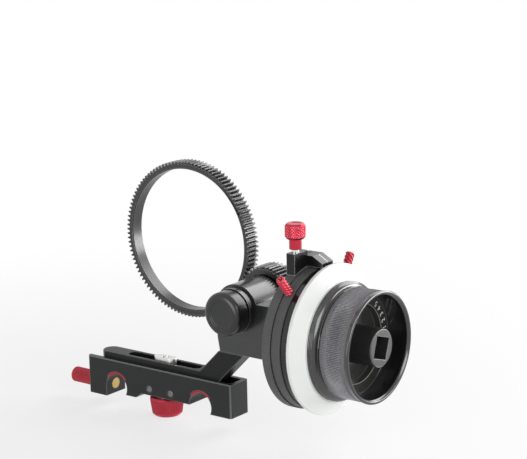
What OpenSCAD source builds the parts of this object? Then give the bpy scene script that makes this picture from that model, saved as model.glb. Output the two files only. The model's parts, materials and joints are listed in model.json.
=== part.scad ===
// Follow focus unit for a camera on two support rods: a rod bracket, a
// sliding arm, a right-angle gearbox, a hand wheel with a marking disk and
// two settable stops, a drive gear, and the gear ring worn by the lens.
//
// Millimetres. Origin midway between the rod axes at the middle of the base
// block's depth. +X towards the hand wheel, -Y towards the lens front (the
// camera looks along -Y), +Z up. Built at real size in working position.

/* [Rods and base block] */
// Diameter of each support rod
rod_d = 15; // [15:0.5:19]
// Distance between the two rod axes
rod_pitch = 60; // [60:1:80]
// Radial clearance between a rod and its saddle
rod_clear = 0.05; // [0.02:0.01:0.1]
// Length of the block beyond each rod axis
base_end = 20.9; // [18:0.1:30]
// Depth of the block along the rods
base_d = 15.4; // [14:0.1:24]
// Height of the block's top face above the rod axes
base_top = 15.1; // [14.5:0.1:20]
// How far the hooked lips reach below the rod axes
lip_drop = 3.6; // [2:0.1:5]
// Thickness of the red liner in each saddle
liner_t = 1.0; // [0.8:0.1:1.5]
// Half of the arc that each liner covers, in degrees
liner_half = 52; // [30:1:60]
// Width of the channel that guides the arm's foot
channel_w = 10; // [8:0.1:11]
// Thickness of the block left under the channel
bridge_t = 2.5; // [1.8:0.1:4]

/* [Arm and its clamp] */
// Height of the arm's foot bar
foot_t = 7.5; // [6:0.1:10]
// Length of the foot bar, from its rounded end to the arm
foot_l = 81; // [70:1:95]
// Left end of the adjusting slot
slot_from = -26; // [-30:0.5:-18]
// Right end of the adjusting slot
slot_to = 25; // [18:0.5:27]
// Width of the slot's upper step, where the nut slides
slot_w = 6.6; // [6:0.1:7]
// Diameter of the clamp stud
stud_d = 4; // [3:0.5:4]
// Height of the arm's sloping bar along X
arm_run = 16.8; // [14:0.1:22]
// Where the arm's outer slope would meet the channel floor line z = 0
arm_foot_x = 26.2; // [24:0.1:27]
// Diameter of the red clamp knob under the block
clamp_knob_d = 18.6; // [14:0.1:22]
// Height of the red clamp knob
clamp_knob_h = 10.6; // [8:0.1:14]
// Diameter of the red rod lock knob at the block's end
lock_knob_d = 8.6; // [7:0.1:11]
// Length of the red rod lock knob
lock_knob_l = 16.5; // [10:0.5:20]

/* [Gearbox] */
// Position of the hand wheel's axis along Y
wheel_y = 6; // [5:0.1:7]
// Height of the hand wheel's axis
wheel_z = 46.6; // [44:0.1:50]
// Position of the drive shaft's axis along X
drive_x = 54.4; // [52:0.1:56]
// Front face of the gearbox
box_front = -4.8; // [-6:0.1:-4.8]
// Depth of the gearbox housing, without its rear cover
box_depth = 19.3; // [19.3:0.1:24]
// Bottom of the gearbox
box_bottom = 32; // [31:0.1:33]
// Height of the gearbox
box_h = 29; // [28:0.1:32]
// Far end of the gearbox, where the flange sits
box_end = 90.8; // [88:0.1:96]
// Thickness of the front wall
front_wall = 2; // [2:0.1:3]
// Thickness of the rear cover
cover_t = 2.5; // [2.5:0.1:4]
// Radius of the round housing around the drive shaft
boss_r = 13.5; // [13:0.1:15]
// Radius of the front tube
tube_r = 12.2; // [9:0.1:13]
// Length of the front tube
tube_l = 4.4; // [3:0.1:8]

/* [Gears] */
// Module of the drive gear and the lens gear
gear_module = 0.8; // [0.8:0.1:0.8]
// Teeth on the drive gear
drive_teeth = 43; // [35:1:48]
// Teeth on the lens gear
lens_teeth = 107; // [90:1:120]
// Width of the drive gear
drive_w = 12; // [8:0.5:14]
// Width of the lens gear
lens_w = 8; // [6:0.5:10]
// Thickness of the lens gear's ring under its teeth
lens_wall = 2.5; // [1.6:0.1:6]
// Module of the two equal spur gears in the box
spur_module = 0.5; // [0.5:0.05:0.5]
// Teeth on each spur gear in the box
spur_teeth = 20; // [18:2:20]
// Teeth on each bevel gear
bevel_teeth = 20; // [16:2:24]
// Pitch radius of each bevel gear at its large end
bevel_r = 5.5; // [5:0.1:5.8]
// Face length of the bevel teeth along their axis
bevel_face = 2.3; // [1.5:0.1:2.6]
// Tooth thinning that leaves play between meshed gears
tooth_play = 0.14; // [0.1:0.01:0.2]
// Radius of the drive shaft
drive_shaft_r = 3; // [2.5:0.1:3.2]
// Radius of the hand wheel's shaft
wheel_shaft_r = 4; // [3:0.1:4.2]
// Radius of the countershaft
counter_r = 1.78; // [1.5:0.02:1.9]
// Radial clearance of a shaft running in a bush
run_clear = 0.05; // [0.02:0.01:0.1]
// Radius of the cap on the front of the drive shaft
cap_r = 11.65; // [9:0.05:13]
// Length of the cap
cap_l = 9.1; // [6:0.1:12]

/* [Stops and index] */
// Radius of the fixed flange behind the stop rings
flange_r = 38; // [36.5:0.1:39]
// Thickness of the fixed flange
flange_t = 5.1; // [5.1:0.1:7]
// How far stop ring A's rim stands below the flange's rim
ring_a_drop = 0.6; // [0.3:0.1:2]
// Width of stop ring A
ring_a_w = 5.5; // [5:0.1:7]
// How far stop ring B's rim stands below the flange's rim
ring_b_drop = 1.1; // [0.3:0.1:2]
// Width of stop ring B
ring_b_w = 4.4; // [4.4:0.1:6]
// Direction of stop screw A, in degrees from +Y towards +Z
stop_a_angle = 131; // [110:0.5:170]
// Direction of stop screw B, in degrees from +Y towards +Z
stop_b_angle = 62; // [20:0.5:70]
// Length of the head of stop screw A
stop_a_head_l = 11.5; // [7:0.1:12]
// Length of the head of stop screw B
stop_b_head_l = 8; // [6:0.1:12]
// Diameter of each red stop screw's head
stop_head_d = 4.8; // [3.6:0.1:4.8]
// Height of the post that carries the drag screw, above the flange's rim
post_h = 7.9; // [6.5:0.1:9.5]
// Height of the index arm above the flange's rim
index_h = 5.4; // [4.4:0.1:6]
// Front of the post, measured from the wheel's axis
post_front = -15.7; // [-18:0.1:-14]
// Front of the index arm, measured from the wheel's axis
index_front = -5.2; // [-7:0.1:-4]
// Back of the index arm, measured from the wheel's axis
index_back = 4.2; // [3:0.1:6]
// Diameter of the red drag screw's head
drag_head_d = 10.8; // [8:0.1:13]
// Height of the red drag screw's head
drag_head_h = 8; // [6:0.1:10]
// Diameter of the red neck under that head
drag_neck_d = 6.4; // [5.6:0.1:6.4]

/* [Hand wheel] */
// Radius of the hub that carries the stop rings and the disk
hub_r = 30; // [28:0.1:31]
// Radius of the white marking disk
disk_r = 39.15; // [37:0.05:42]
// Thickness of the marking disk at its rim
disk_rim = 2.4; // [1.5:0.1:3]
// Thickness of the marking disk at its centre
disk_mid = 6.8; // [4:0.1:7]
// Radius of the knob's rear flange
knob_flange_r = 30.8; // [29:0.1:32]
// Radius of the knob's ribbed drum
drum_r = 28.5; // [26.5:0.1:28.6]
// Radius of the knob's front rim
rim_r = 28.9; // [28:0.1:30]
// Length of the knob in front of the disk
knob_l = 22.9; // [20:0.1:28]
// Inner radius of the knob's cup
cup_r = 26.3; // [24:0.1:26.3]
// Depth of the cup
cup_depth = 12.8; // [8:0.1:15]
// Radius of the deeper recess in the cup's floor
recess_r = 20.5; // [16:0.1:22]
// Depth of that recess below the cup's floor
recess_depth = 4; // [1:0.1:4]
// Ribs around the drum
drum_ribs = 150; // [90:1:150]
// Radius of the socket post in the middle of the cup
post_r = 9.9; // [9.3:0.1:12]
// How far the post's face stands in front of the knob's rim
post_out = 0.8; // [0:0.1:2]
// Width across the flats of the square crank socket
socket_w = 11.2; // [8:0.1:12.4]
// Depth of the square crank socket
socket_depth = 16.6; // [8:0.1:17]
// Turn of the square socket at rest, in degrees
socket_turn = -18; // [-45:1:45]

/* [Hidden] */
$fn = 72;
fit = 0.02;                          // gap round a pressed or screwed part
run_gap = 0.3;                       // gap between faces that turn past each other
skin = 0.05;                         // how far a knob's turned outline clears its ribs

// Base block
rx = rod_pitch / 2;
saddle_r = rod_d / 2 + rod_clear;
base_x = rx + base_end;
lip_z = -lip_drop;
bay_z = -0.6;                        // underside between the lips
bay_x = 11.7;                        // half width of the middle bay
channel_z = saddle_r + liner_t + bridge_t;
channel_end = base_x - 2;

// Arm
foot_z0 = channel_z + 0.1;
foot_z1 = foot_z0 + foot_t;
foot_w = channel_w - 0.2;
arm_top = box_bottom - 0.05;
slot_step = foot_z1 - 2.6;
slot_low = stud_d + 0.6;
nut_z1 = slot_step + 4.6;
knob_top = bay_z - 0.8;
clamp_knob_r = clamp_knob_d / 2 + skin;

// Gearbox
box_back = box_front + box_depth;
box_top = box_bottom + box_h;
box_left = drive_x - boss_r + 1.4;
in_front = box_front + front_wall;
wall = 2.6;
cavity_end = drive_x + 17.6;
spur_r = spur_module * spur_teeth / 2;
drive_z = wheel_z + 2 * spur_r;
tube_front = box_front - tube_l;
cover_back = box_back + cover_t;
rear_boss = cover_back + 1.6;
drive_y0 = rear_boss + 0.4;
drive_y1 = drive_y0 + drive_w;
drive_r = gear_module * drive_teeth / 2;
lens_r = gear_module * lens_teeth / 2;
lens_bore_r = lens_r - 1.25 * gear_module - lens_wall;
mesh_l = drive_r + lens_r;
lens_z = drive_z + sqrt(pow(mesh_l, 2) - pow(drive_x, 2));
lens_dir = atan2(lens_z - drive_z, -drive_x);
lens_y0 = drive_y0 + (drive_w - lens_w) / 2;
spur_y0 = in_front + 0.2;
spur_y1 = wheel_y - bevel_r - 0.85;
bearing_r = 6.5;
bearing_w = 3.5;
bush_r = 5;
pivot_r = 1.5;
cap_back = tube_front - run_gap;

// Wheel stack, from the gearbox outwards
flange_x0 = box_end + 0.1;
flange_x1 = flange_x0 + flange_t;
well_x = flange_x1 - 3.2;            // floor of the flange's well
well_r = hub_r + 0.6;
hub_x0 = well_x + 0.4;
hub_pocket_r = 26;                   // pocket that lightens the hub's outer face
hub_boss_r = 20.5;
hub_pocket = 7;
screw_circle = 14;                   // radius that the knob's screws stand on
ring_a_r = flange_r - ring_a_drop;
ring_b_r = flange_r - ring_b_drop;
ring_a_x0 = flange_x1 + run_gap;
ring_a_x1 = ring_a_x0 + ring_a_w;
ring_b_x0 = ring_a_x1 + run_gap;
ring_b_x1 = ring_b_x0 + ring_b_w;
disk_x0 = ring_b_x1 + run_gap;
disk_x1 = disk_x0 + disk_mid;
stop_a_x = ring_a_x1 - 0.2 - stop_head_d / 2;
stop_b_x = disk_x0 - 0.2 - stop_head_d / 2;
knob_x0 = disk_x1 + 0.1;
knob_x1 = knob_x0 + knob_l;
cup_x = knob_x1 - cup_depth;
recess_x = cup_x - recess_depth;
spigot_r = 20;
tail_r = 8;
post_x1 = knob_x1 + post_out;
socket_x = post_x1 - socket_depth;
drag_x = flange_x0 + flange_t / 2;
drag_y = wheel_y + post_front + 4.4;
post_top = wheel_z + flange_r + post_h;
index_top = wheel_z + flange_r + index_h;
block_foot = wheel_z + flange_r - 8; // start of the block, before the rim is cut out
index_x1 = disk_x0 - 1.4;
pad_top = wheel_z + hub_r + 0.7;

// ---------- helpers ----------

// Extrude a drawing made in X and Z along Y, from y0 to y1.
module slab(y0, y1) {
  translate([0, y1, 0]) rotate([90, 0, 0]) linear_extrude(y1 - y0) children();
}

// Cylinder along X on the wheel's axis.
module wheel_rod(x0, x1, r) {
  translate([x0, wheel_y, wheel_z]) rotate([0, 90, 0]) cylinder(h = x1 - x0, r = r);
}

// Ring along X on the wheel's axis.
module wheel_ring(x0, x1, r, hole) {
  difference() {
    wheel_rod(x0, x1, r);
    wheel_rod(x0 - 1, x1 + 1, hole);
  }
}

// Turn a profile of [radius, x] points round the wheel's axis.
module wheel_turning(points) {
  translate([0, wheel_y, wheel_z]) rotate([0, 90, 0])
    rotate_extrude() polygon(points);
}

// Cylinder along Y.
module rod_y(x, z, y0, y1, r) {
  translate([x, y0, z]) rotate([-90, 0, 0]) cylinder(h = y1 - y0, r = r);
}

// Ring along Y.
module ring_y(x, z, y0, y1, r, hole) {
  difference() {
    rod_y(x, z, y0, y1, r);
    rod_y(x, z, y0 - 1, y1 + 1, hole);
  }
}

// Cylinder along X.
module rod_x(y, z, x0, x1, r) {
  translate([x0, y, z]) rotate([0, 90, 0]) cylinder(h = x1 - x0, r = r);
}

// Rectangle with true round corners.
module round_rect(x0, x1, y0, y1, r) {
  translate([x0 + r, y0]) square([x1 - x0 - 2 * r, y1 - y0]);
  translate([x0, y0 + r]) square([x1 - x0, y1 - y0 - 2 * r]);
  for (x = [x0 + r, x1 - r], y = [y0 + r, y1 - r]) translate([x, y]) circle(r = r);
}

// Outline with a round at both ends, along X.
module stadium(x0, x1, w) {
  translate([x0 + w / 2, -w / 2]) square([x1 - x0 - w, w]);
  for (x = [x0 + w / 2, x1 - w / 2]) translate([x, 0]) circle(d = w);
}

// Round grip with straight ribs, standing on z = 0.
module ribbed(r, h, ribs, depth) {
  linear_extrude(h) polygon([for (i = [0:2 * ribs - 1])
    let (a = i * 180 / ribs, q = i % 2 == 0 ? r : r - depth)
    [q * cos(a), q * sin(a)]]);
}

// Ribbed grip with turned-down ends, standing on z = 0.
module grip(r, h, ribs, depth, bevel) {
  q = r + skin;
  intersection() {
    ribbed(r, h, ribs, depth);
    rotate_extrude() polygon([[0, 0], [q - bevel, 0], [q, bevel],
      [q, h - bevel], [q - bevel, h], [0, h]]);
  }
}

// Involute function and the half angle of a tooth at radius q.
function inv(a) = tan(a) * 180 / PI - a;
function tooth_half(q, r, teeth) = 90 / teeth - tooth_play / 2 / r * 180 / PI
  + inv(20) - (q > r * cos(20) ? inv(acos(r * cos(20) / q)) : 0);

// Gear outline of pitch radius r with a tooth centred on the angle phase.
module gear_outline(r, teeth, phase = 0, steps = 4, tall = 1) {
  m = 2 * r / teeth;
  root = r - 1.25 * m * tall;
  tip = r + m * tall;
  radii = [for (k = [0:steps]) root + (tip - root) * k / steps];
  polygon([for (i = [0:teeth - 1]) let (c = phase + i * 360 / teeth) each concat(
    [for (q = radii) let (a = c - tooth_half(q, r, teeth)) [q * cos(a), q * sin(a)]],
    [for (k = [steps:-1:0]) let (q = radii[k], a = c + tooth_half(q, r, teeth))
      [q * cos(a), q * sin(a)]])]);
}

// Bevel gear with its large end on z = 0 and its teeth running to +z.
module bevel_teeth_solid(phase) {
  linear_extrude(bevel_face, scale = (bevel_r - bevel_face) / bevel_r)
    gear_outline(bevel_r, bevel_teeth, phase, 4, 0.72);
}

// ---------- base block ----------

// Outline seen from the front: hooked lips on the right of each rod, an
// open bay between them and a deep left end that holds the rod lock.
module base_outline() {
  difference() {
    polygon([[-base_x, base_top], [base_x, base_top], [base_x, lip_z],
      [rx + 4, lip_z], [rx + 4, bay_z], [bay_x, bay_z], [-bay_x, bay_z],
      [-bay_x - 4.2, lip_z], [-rx + 4, lip_z], [-rx + 4, 0],
      [-rx - saddle_r - 0.1, 0], [-rx - saddle_r - 0.1, -6.5], [-base_x, -6.5]]);
    for (x = [-rx, rx]) translate([x, 0]) circle(r = saddle_r);
  }
}

// Block that rests on both rods, with the arm's channel along its top.
module base_block() color([0.13, 0.13, 0.14]) difference() {
  intersection() {
    slab(-base_d / 2, base_d / 2) base_outline();
    translate([0, 0, -10]) linear_extrude(40)
      round_rect(-base_x, base_x, -base_d / 2, base_d / 2, 1.4);
    rotate([90, 0, 90]) translate([0, 0, -base_x - 1]) linear_extrude(2 * base_x + 2)
      polygon([[-base_d / 2, -10], [base_d / 2, -10], [base_d / 2, base_top - 0.6],
        [base_d / 2 - 0.6, base_top], [-base_d / 2 + 0.6, base_top],
        [-base_d / 2, base_top - 0.6]]);
  }
  // channel, open at the left and rounded at the right
  translate([0, 0, channel_z]) linear_extrude(20) {
    translate([-base_x - 1, -channel_w / 2]) square([base_x + channel_end - 1.2, channel_w]);
    round_rect(channel_end - 20, channel_end, -channel_w / 2, channel_w / 2, 2.2);
  }
  // seats of the two liners
  for (x = [-rx, rx]) translate([x, base_d / 2 + 1, 0]) rotate([90, 0, 0])
    rotate([0, 0, 90 - liner_half - 0.2])
      rotate_extrude(angle = 2 * liner_half + 0.4)
        translate([saddle_r - 0.3, 0]) square([liner_t + 0.3, base_d + 2]);
  // clamp stud, front screws
  translate([0, 0, -8]) cylinder(h = 30, d = stud_d + 0.3);
  for (x = [-6.1, 8.9]) {
    rod_y(x, 2.9, -base_d / 2 - 1, -1.4, 1.05);
    rod_y(x, 2.9, -base_d / 2 - 1, -base_d / 2 + 0.9, 1.85);
  }
  // rod lock: threaded hole and the chamber of its pad
  rod_x(0, -1, -base_x - 1, -rx - 8, 2.02);
  rod_x(0, -1, -rx - 15.8, -rx, 3.05);
}

// Red strips that grip the rods, one in the roof of each saddle.
module rod_liners() color([0.72, 0.05, 0.09])
  for (x = [-rx, rx]) translate([x, base_d / 2 - 0.05, 0]) rotate([90, 0, 0])
    rotate([0, 0, 90 - liner_half]) rotate_extrude(angle = 2 * liner_half)
      translate([saddle_r, 0]) square([liner_t - fit, base_d - 0.1]);

// Red knob under the block: it turns the stud that pulls the nut down.
module clamp_knob() color([0.72, 0.05, 0.09]) difference() {
  translate([0, 0, knob_top - clamp_knob_h]) intersection() {
    ribbed(clamp_knob_d / 2, clamp_knob_h, 60, 0.25);
    rotate_extrude() polygon([[0, 0], [clamp_knob_r - 2.2, 0], [clamp_knob_r - 1, 1.2],
      [clamp_knob_r, clamp_knob_h - 2.4], [clamp_knob_r, clamp_knob_h - 0.8],
      [clamp_knob_r - 0.8, clamp_knob_h], [0, clamp_knob_h]]);
  }
  translate([0, 0, knob_top - clamp_knob_h + 2]) cylinder(h = 30, d = stud_d + 2 * fit);
}

// Steel washer between the knob and the block.
module clamp_washer() color([0.75, 0.76, 0.78]) difference() {
  translate([0, 0, knob_top + 0.05]) cylinder(h = bay_z - knob_top - 0.1, r = 6);
  translate([0, 0, knob_top - 1]) cylinder(h = 3, d = stud_d + 0.3);
}

// Stud fixed in the knob; it passes the block and the foot's slot.
module clamp_stud() color([0.75, 0.76, 0.78])
  translate([0, 0, knob_top - clamp_knob_h + 2.1])
    cylinder(h = nut_z1 - 0.7 - (knob_top - clamp_knob_h + 2.1), d = stud_d);

// Bright nut that slides on the ledge inside the foot's slot.
module clamp_nut() color([0.82, 0.83, 0.85]) difference() {
  translate([0, 0, slot_step + 0.05]) linear_extrude(nut_z1 - slot_step - 0.05)
    stadium(-7.2, 7.2, slot_w - 0.4);
  translate([0, 0, slot_step - 1]) cylinder(h = 10, d = stud_d + 0.1);
}

// Two small screws seen in the block's front face.
module front_screws() color([0.75, 0.76, 0.78])
  for (x = [-6.1, 8.9]) difference() {
    union() {
      rod_y(x, 2.9, -base_d / 2 + 0.15, -base_d / 2 + 0.85, 1.7);
      rod_y(x, 2.9, -base_d / 2 + 0.2, -1.6, 1.0);
    }
    rod_y(x, 2.9, -base_d / 2 - 1, -base_d / 2 + 0.55, 0.6, $fn = 6);
  }

// Red knob at the block's left end: it screws the pad against the rod.
module lock_knob() color([0.72, 0.05, 0.09]) difference() {
  translate([-base_x - 1.1 - lock_knob_l, 0, -1]) rotate([0, 90, 0])
    grip(lock_knob_d / 2, lock_knob_l, 36, 0.25, 0.8);
  rod_x(0, -1, -base_x - 7, -base_x, 1.95 + fit);
}

// Threaded shank of the rod lock.
module lock_stud() color([0.75, 0.76, 0.78])
  rod_x(0, -1, -base_x - 6.9, -rx - 11.1, 1.95);

// Pad that the rod lock presses against the left rod.
module lock_pad() color([0.55, 0.42, 0.16]) difference() {
  rod_x(0, -1, -rx - 12.5, -rx - saddle_r, 3);
  rod_x(0, -1, -rx - 13, -rx - 11, 1.95 + run_clear);
  rod_y(-rx, 0, -10, 10, saddle_r);
}

// ---------- arm ----------

// Foot bar with its stepped slot, and the sloping bar up to the gearbox.
module support_arm() color([0.13, 0.13, 0.14]) difference() {
  union() {
    slab(-foot_w / 2, foot_w / 2) polygon([
      [-foot_l / 2 - 3.5 + foot_w / 2, foot_z0], [arm_foot_x + foot_z0, foot_z0],
      [arm_foot_x + arm_top, arm_top], [arm_foot_x + arm_top - arm_run, arm_top],
      [arm_foot_x + foot_z1 - arm_run, foot_z1],
      [-foot_l / 2 - 3.5 + foot_w / 2, foot_z1]]);
    translate([-foot_l / 2 - 3.5 + foot_w / 2, 0, foot_z0]) cylinder(h = foot_t, d = foot_w);
  }
  translate([0, 0, slot_step]) linear_extrude(3) stadium(slot_from, slot_to, slot_w);
  translate([0, 0, foot_z0 - 1]) linear_extrude(foot_t)
    stadium(slot_from + 1, slot_to - 1, slot_low);
  for (x = [drive_x - 7.4, drive_x - 3.2])
    translate([x, 0, arm_top - 3.6]) cylinder(h = 10, r = 1.02);
}

// Two screws from inside the gearbox into the top of the arm.
module arm_screws() color([0.75, 0.76, 0.78])
  for (x = [drive_x - 7.4, drive_x - 3.2]) {
    translate([x, 0, arm_top - 3.4]) cylinder(h = wall + 3.5, r = 1);
    translate([x, 0, box_bottom + wall + 0.02]) cylinder(h = 1.4, r = 1.9);
  }

// ---------- gearbox ----------

// Outline of the housing: a box with a round end about the drive shaft.
module box_outline() {
  polygon([[box_left, box_bottom], [box_end, box_bottom], [box_end, box_top],
    [drive_x, box_top], [drive_x - boss_r, drive_z], [drive_x - boss_r, box_bottom + 8]]);
  translate([drive_x, drive_z]) circle(r = boss_r);
}

// Outline of the gear chamber.
module chamber_outline() {
  polygon([[box_left + 2.2, box_bottom + wall], [cavity_end, box_bottom + wall],
    [cavity_end, box_top - wall], [drive_x, box_top - wall],
    [drive_x - boss_r + 2.7, drive_z], [drive_x - boss_r + 2.7, box_bottom + 8]]);
  translate([drive_x, drive_z]) circle(r = boss_r - 2.7);
}

// Positions of the rear cover's screws, in X and Z.
cover_screw_at = [[drive_x - 8.57, drive_z + 8.57], [drive_x + 8.57, drive_z + 8.57],
  [drive_x - 7.6, box_bottom + 4.2], [cavity_end + 6, box_bottom + 4.5],
  [cavity_end + 6, box_top - 4.5]];

// Positions of the flange's screws, in Y and Z.
flange_screw_at = [[box_front + 3.8, box_bottom + 4], [box_front + 3.8, box_top - 4],
  [box_back - 2.5, box_bottom + 4], [box_back - 2.5, box_top - 4]];

// Housing with its gear chamber, the bearing bore and the front tube.
module gearbox_housing() color([0.11, 0.11, 0.12]) difference() {
  union() {
    difference() {
      slab(box_front, box_back) box_outline();
      slab(in_front, box_back + 1) chamber_outline();
    }
    rod_y(drive_x, drive_z, tube_front, box_front + 1, tube_r);
    rod_y(drive_x - 7.6, box_bottom + 4.2, box_back - 8, box_back, 2.6);
  }
  // wheel shaft and its two bearings
  rod_x(wheel_y, wheel_z, cavity_end - 1, box_end + 1, wheel_shaft_r + 1);
  rod_x(wheel_y, wheel_z, cavity_end - 1, cavity_end + bearing_w, bearing_r + fit);
  rod_x(wheel_y, wheel_z, box_end - bearing_w, box_end + 1, bearing_r + fit);
  // drive shaft bush, countershaft bush
  rod_y(drive_x, drive_z, tube_front - 1, in_front + 1, bush_r + fit);
  rod_y(drive_x, wheel_z, in_front - 1.3, in_front + 1, 2.62);
  // screw holes
  for (p = cover_screw_at) rod_y(p[0], p[1], box_back - 6.2, box_back + 1, 0.92);
  for (p = flange_screw_at) rod_x(p[0], p[1], box_end - 7, box_end + 1, 1.22);
  for (x = [drive_x - 7.4, drive_x - 3.2])
    translate([x, 0, box_bottom - 1]) cylinder(h = wall + 2, r = 1.1);
}

// Plate that closes the chamber and carries the rear bushes.
module rear_cover() color([0.11, 0.11, 0.12]) difference() {
  union() {
    slab(box_back + 0.02, cover_back) box_outline();
    rod_y(drive_x, drive_z, box_back + 0.02, rear_boss, 8.5);
  }
  rod_y(drive_x, drive_z, box_back - 1, rear_boss + 1, bush_r + fit);
  rod_y(drive_x, wheel_z, box_back - 1, box_back + 1.6, 2.62);
  for (p = cover_screw_at) {
    rod_y(p[0], p[1], box_back - 1, cover_back + 1, 1.0);
    rod_y(p[0], p[1], cover_back - 0.9, cover_back + 1, 1.75);
  }
}

// Five screws of the rear cover.
module cover_screws() color([0.2, 0.2, 0.21])
  for (p = cover_screw_at) difference() {
    union() {
      rod_y(p[0], p[1], box_back - 5.6, cover_back - 0.3, 0.9);
      rod_y(p[0], p[1], cover_back - 0.85, cover_back - 0.05, 1.7);
    }
    rod_y(p[0], p[1], cover_back - 0.5, cover_back + 1, 0.6, $fn = 6);
  }

// Two bearings of the wheel shaft.
module wheel_bearings() color([0.7, 0.71, 0.73]) {
  wheel_ring(cavity_end + 0.02, cavity_end + bearing_w - 0.05, bearing_r,
    wheel_shaft_r + run_clear);
  wheel_ring(box_end - bearing_w + 0.05, box_end - 0.02, bearing_r,
    wheel_shaft_r + run_clear);
}

// Front and rear bushes of the drive shaft.
module drive_bushes() color([0.72, 0.55, 0.22]) {
  ring_y(drive_x, drive_z, tube_front + 0.02, in_front, bush_r, drive_shaft_r + run_clear);
  ring_y(drive_x, drive_z, box_back + 0.02, rear_boss, bush_r, drive_shaft_r + run_clear);
}

// Front and rear bushes of the countershaft.
module counter_bushes() color([0.72, 0.55, 0.22]) {
  ring_y(drive_x, wheel_z, in_front - 1.28, in_front, 2.6, pivot_r + run_clear);
  ring_y(drive_x, wheel_z, box_back + 0.02, box_back + 1.58, 2.6, pivot_r + run_clear);
}

// ---------- flange, stops and index ----------

// Fixed flange on the end of the gearbox, with a well for the hub.
module index_flange() color([0.16, 0.16, 0.17]) difference() {
  wheel_turning([[6, flange_x0], [flange_r - 0.4, flange_x0], [flange_r, flange_x0 + 0.4],
    [flange_r, flange_x1 - 0.2], [flange_r - 0.2, flange_x1], [well_r, flange_x1],
    [well_r, well_x], [6, well_x]]);
  for (p = flange_screw_at) {
    rod_x(p[0], p[1], flange_x0 - 1, flange_x1, 1.3);
    rod_x(p[0], p[1], well_x - 1.2, flange_x1, 2.15);
  }
  translate([drag_x, drag_y, wheel_z + hub_r - 6]) cylinder(h = 60, r = 2.05);
  translate([drag_x, wheel_y, wheel_z + well_r + 1.5]) cylinder(h = 60, r = 1.02);
}

// Four screws that hold the flange on the gearbox.
module flange_screws() color([0.2, 0.2, 0.21])
  for (p = flange_screw_at) {
    rod_x(p[0], p[1], box_end - 6.5, well_x - 1.1, 1.2);
    rod_x(p[0], p[1], well_x - 1.15, well_x - 0.1, 2.1);
  }

// Post and index arm in one piece: the post carries the drag screw, the
// arm stops the two red screws and points at the disk's rim.
module stop_block() color([0.12, 0.12, 0.13]) difference() {
  union() {
    translate([flange_x0, wheel_y + post_front, block_foot])
      cube([flange_t, index_front - post_front + 1, post_top - block_foot]);
    slab(wheel_y + index_front, wheel_y + index_back) polygon([
      [flange_x0, block_foot], [index_x1, block_foot],
      [index_x1, index_top - 3.4], [index_x1 - 6, index_top], [flange_x0, index_top]]);
  }
  wheel_rod(flange_x0 - 1, index_x1 + 1, flange_r + 0.05);
  translate([drag_x, drag_y, wheel_z]) cylinder(h = 60, r = 2.05);
  translate([drag_x, wheel_y, block_foot]) cylinder(h = 30, r = 1.1);
  translate([drag_x, wheel_y, index_top - 1.3]) cylinder(h = 3, r = 2.05);
  translate([index_x1 - 3, wheel_y, index_top - 1.7])
    rotate([0, atan2(3.4, 6), 0]) cube([8, 0.72, 0.6], center = true);
}

// White line let into the slope of the index arm.
module witness_line() color([0.95, 0.95, 0.93])
  translate([index_x1 - 3, wheel_y, index_top - 1.7])
    rotate([0, atan2(3.4, 6), 0]) translate([0, 0, -0.14]) cube([6, 0.68, 0.28], center = true);

// Screw that fixes the block to the flange.
module block_screw() color([0.2, 0.2, 0.21]) difference() {
  union() {
    translate([drag_x, wheel_y, wheel_z + well_r + 1.7])
      cylinder(h = index_top - wheel_z - well_r - 2.2, r = 1);
    translate([drag_x, wheel_y, index_top - 1.25]) cylinder(h = 1.1, r = 2);
  }
  translate([drag_x, wheel_y, index_top - 0.8]) cylinder(h = 3, r = 0.8, $fn = 6);
}

// Red head and neck of the drag screw.
module drag_screw_head() color([0.72, 0.05, 0.09]) difference() {
  union() {
    translate([drag_x, drag_y, post_top + 7]) grip(drag_head_d / 2, drag_head_h, 36, 0.3, 1.1);
    translate([drag_x, drag_y, post_top + 1.6]) cylinder(h = 6, d = drag_neck_d);
  }
  translate([drag_x, drag_y, post_top]) cylinder(h = 6, r = 2 + fit);
}

// Bright threaded shank of the drag screw.
module drag_screw_shank() color([0.82, 0.83, 0.85])
  translate([drag_x, drag_y, pad_top + 1.05]) cylinder(h = post_top + 5.9 - pad_top - 1.05, r = 2);

// Soft pad that the drag screw presses on the turning hub.
module drag_pad() color([0.85, 0.83, 0.76]) difference() {
  translate([drag_x, drag_y, wheel_z + hub_r - 4]) cylinder(h = pad_top + 5 - wheel_z - hub_r, r = 1.98);
  wheel_rod(flange_x0, flange_x1 + 1, hub_r + 0.1);
}

// Stop ring with a radial threaded hole; it turns on the hub.
module stop_ring(x0, x1, r, screw_x, angle) difference() {
  wheel_turning([[hub_r + run_clear, x0], [r - 0.3, x0], [r, x0 + 0.3],
    [r, x1 - 0.3], [r - 0.3, x1], [hub_r + run_clear, x1]]);
  translate([screw_x, wheel_y, wheel_z]) rotate([angle - 90, 0, 0])
    cylinder(h = r + 5, r = 1.5);
}

// Red ribbed stop screw standing on its ring, with a plain threaded end.
module stop_screw(x, head_l, angle)
  translate([x, wheel_y, wheel_z]) rotate([angle - 90, 0, 0]) {
    translate([0, 0, hub_r + 0.4]) cylinder(h = flange_r - hub_r - 0.55, r = 1.45);
    translate([0, 0, flange_r - 0.2]) grip(stop_head_d / 2, head_l, 22, 0.22, 0.7);
  }

module stop_ring_a() color([0.2, 0.2, 0.21])
  stop_ring(ring_a_x0, ring_a_x1, ring_a_r, stop_a_x, stop_a_angle);

module stop_screw_a() color([0.72, 0.05, 0.09])
  stop_screw(stop_a_x, stop_a_head_l, stop_a_angle);

module stop_ring_b() color([0.08, 0.08, 0.09])
  stop_ring(ring_b_x0, ring_b_x1, ring_b_r, stop_b_x, stop_b_angle);

module stop_screw_b() color([0.72, 0.05, 0.09])
  stop_screw(stop_b_x, stop_b_head_l, stop_b_angle);

// ---------- hand wheel ----------

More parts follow.
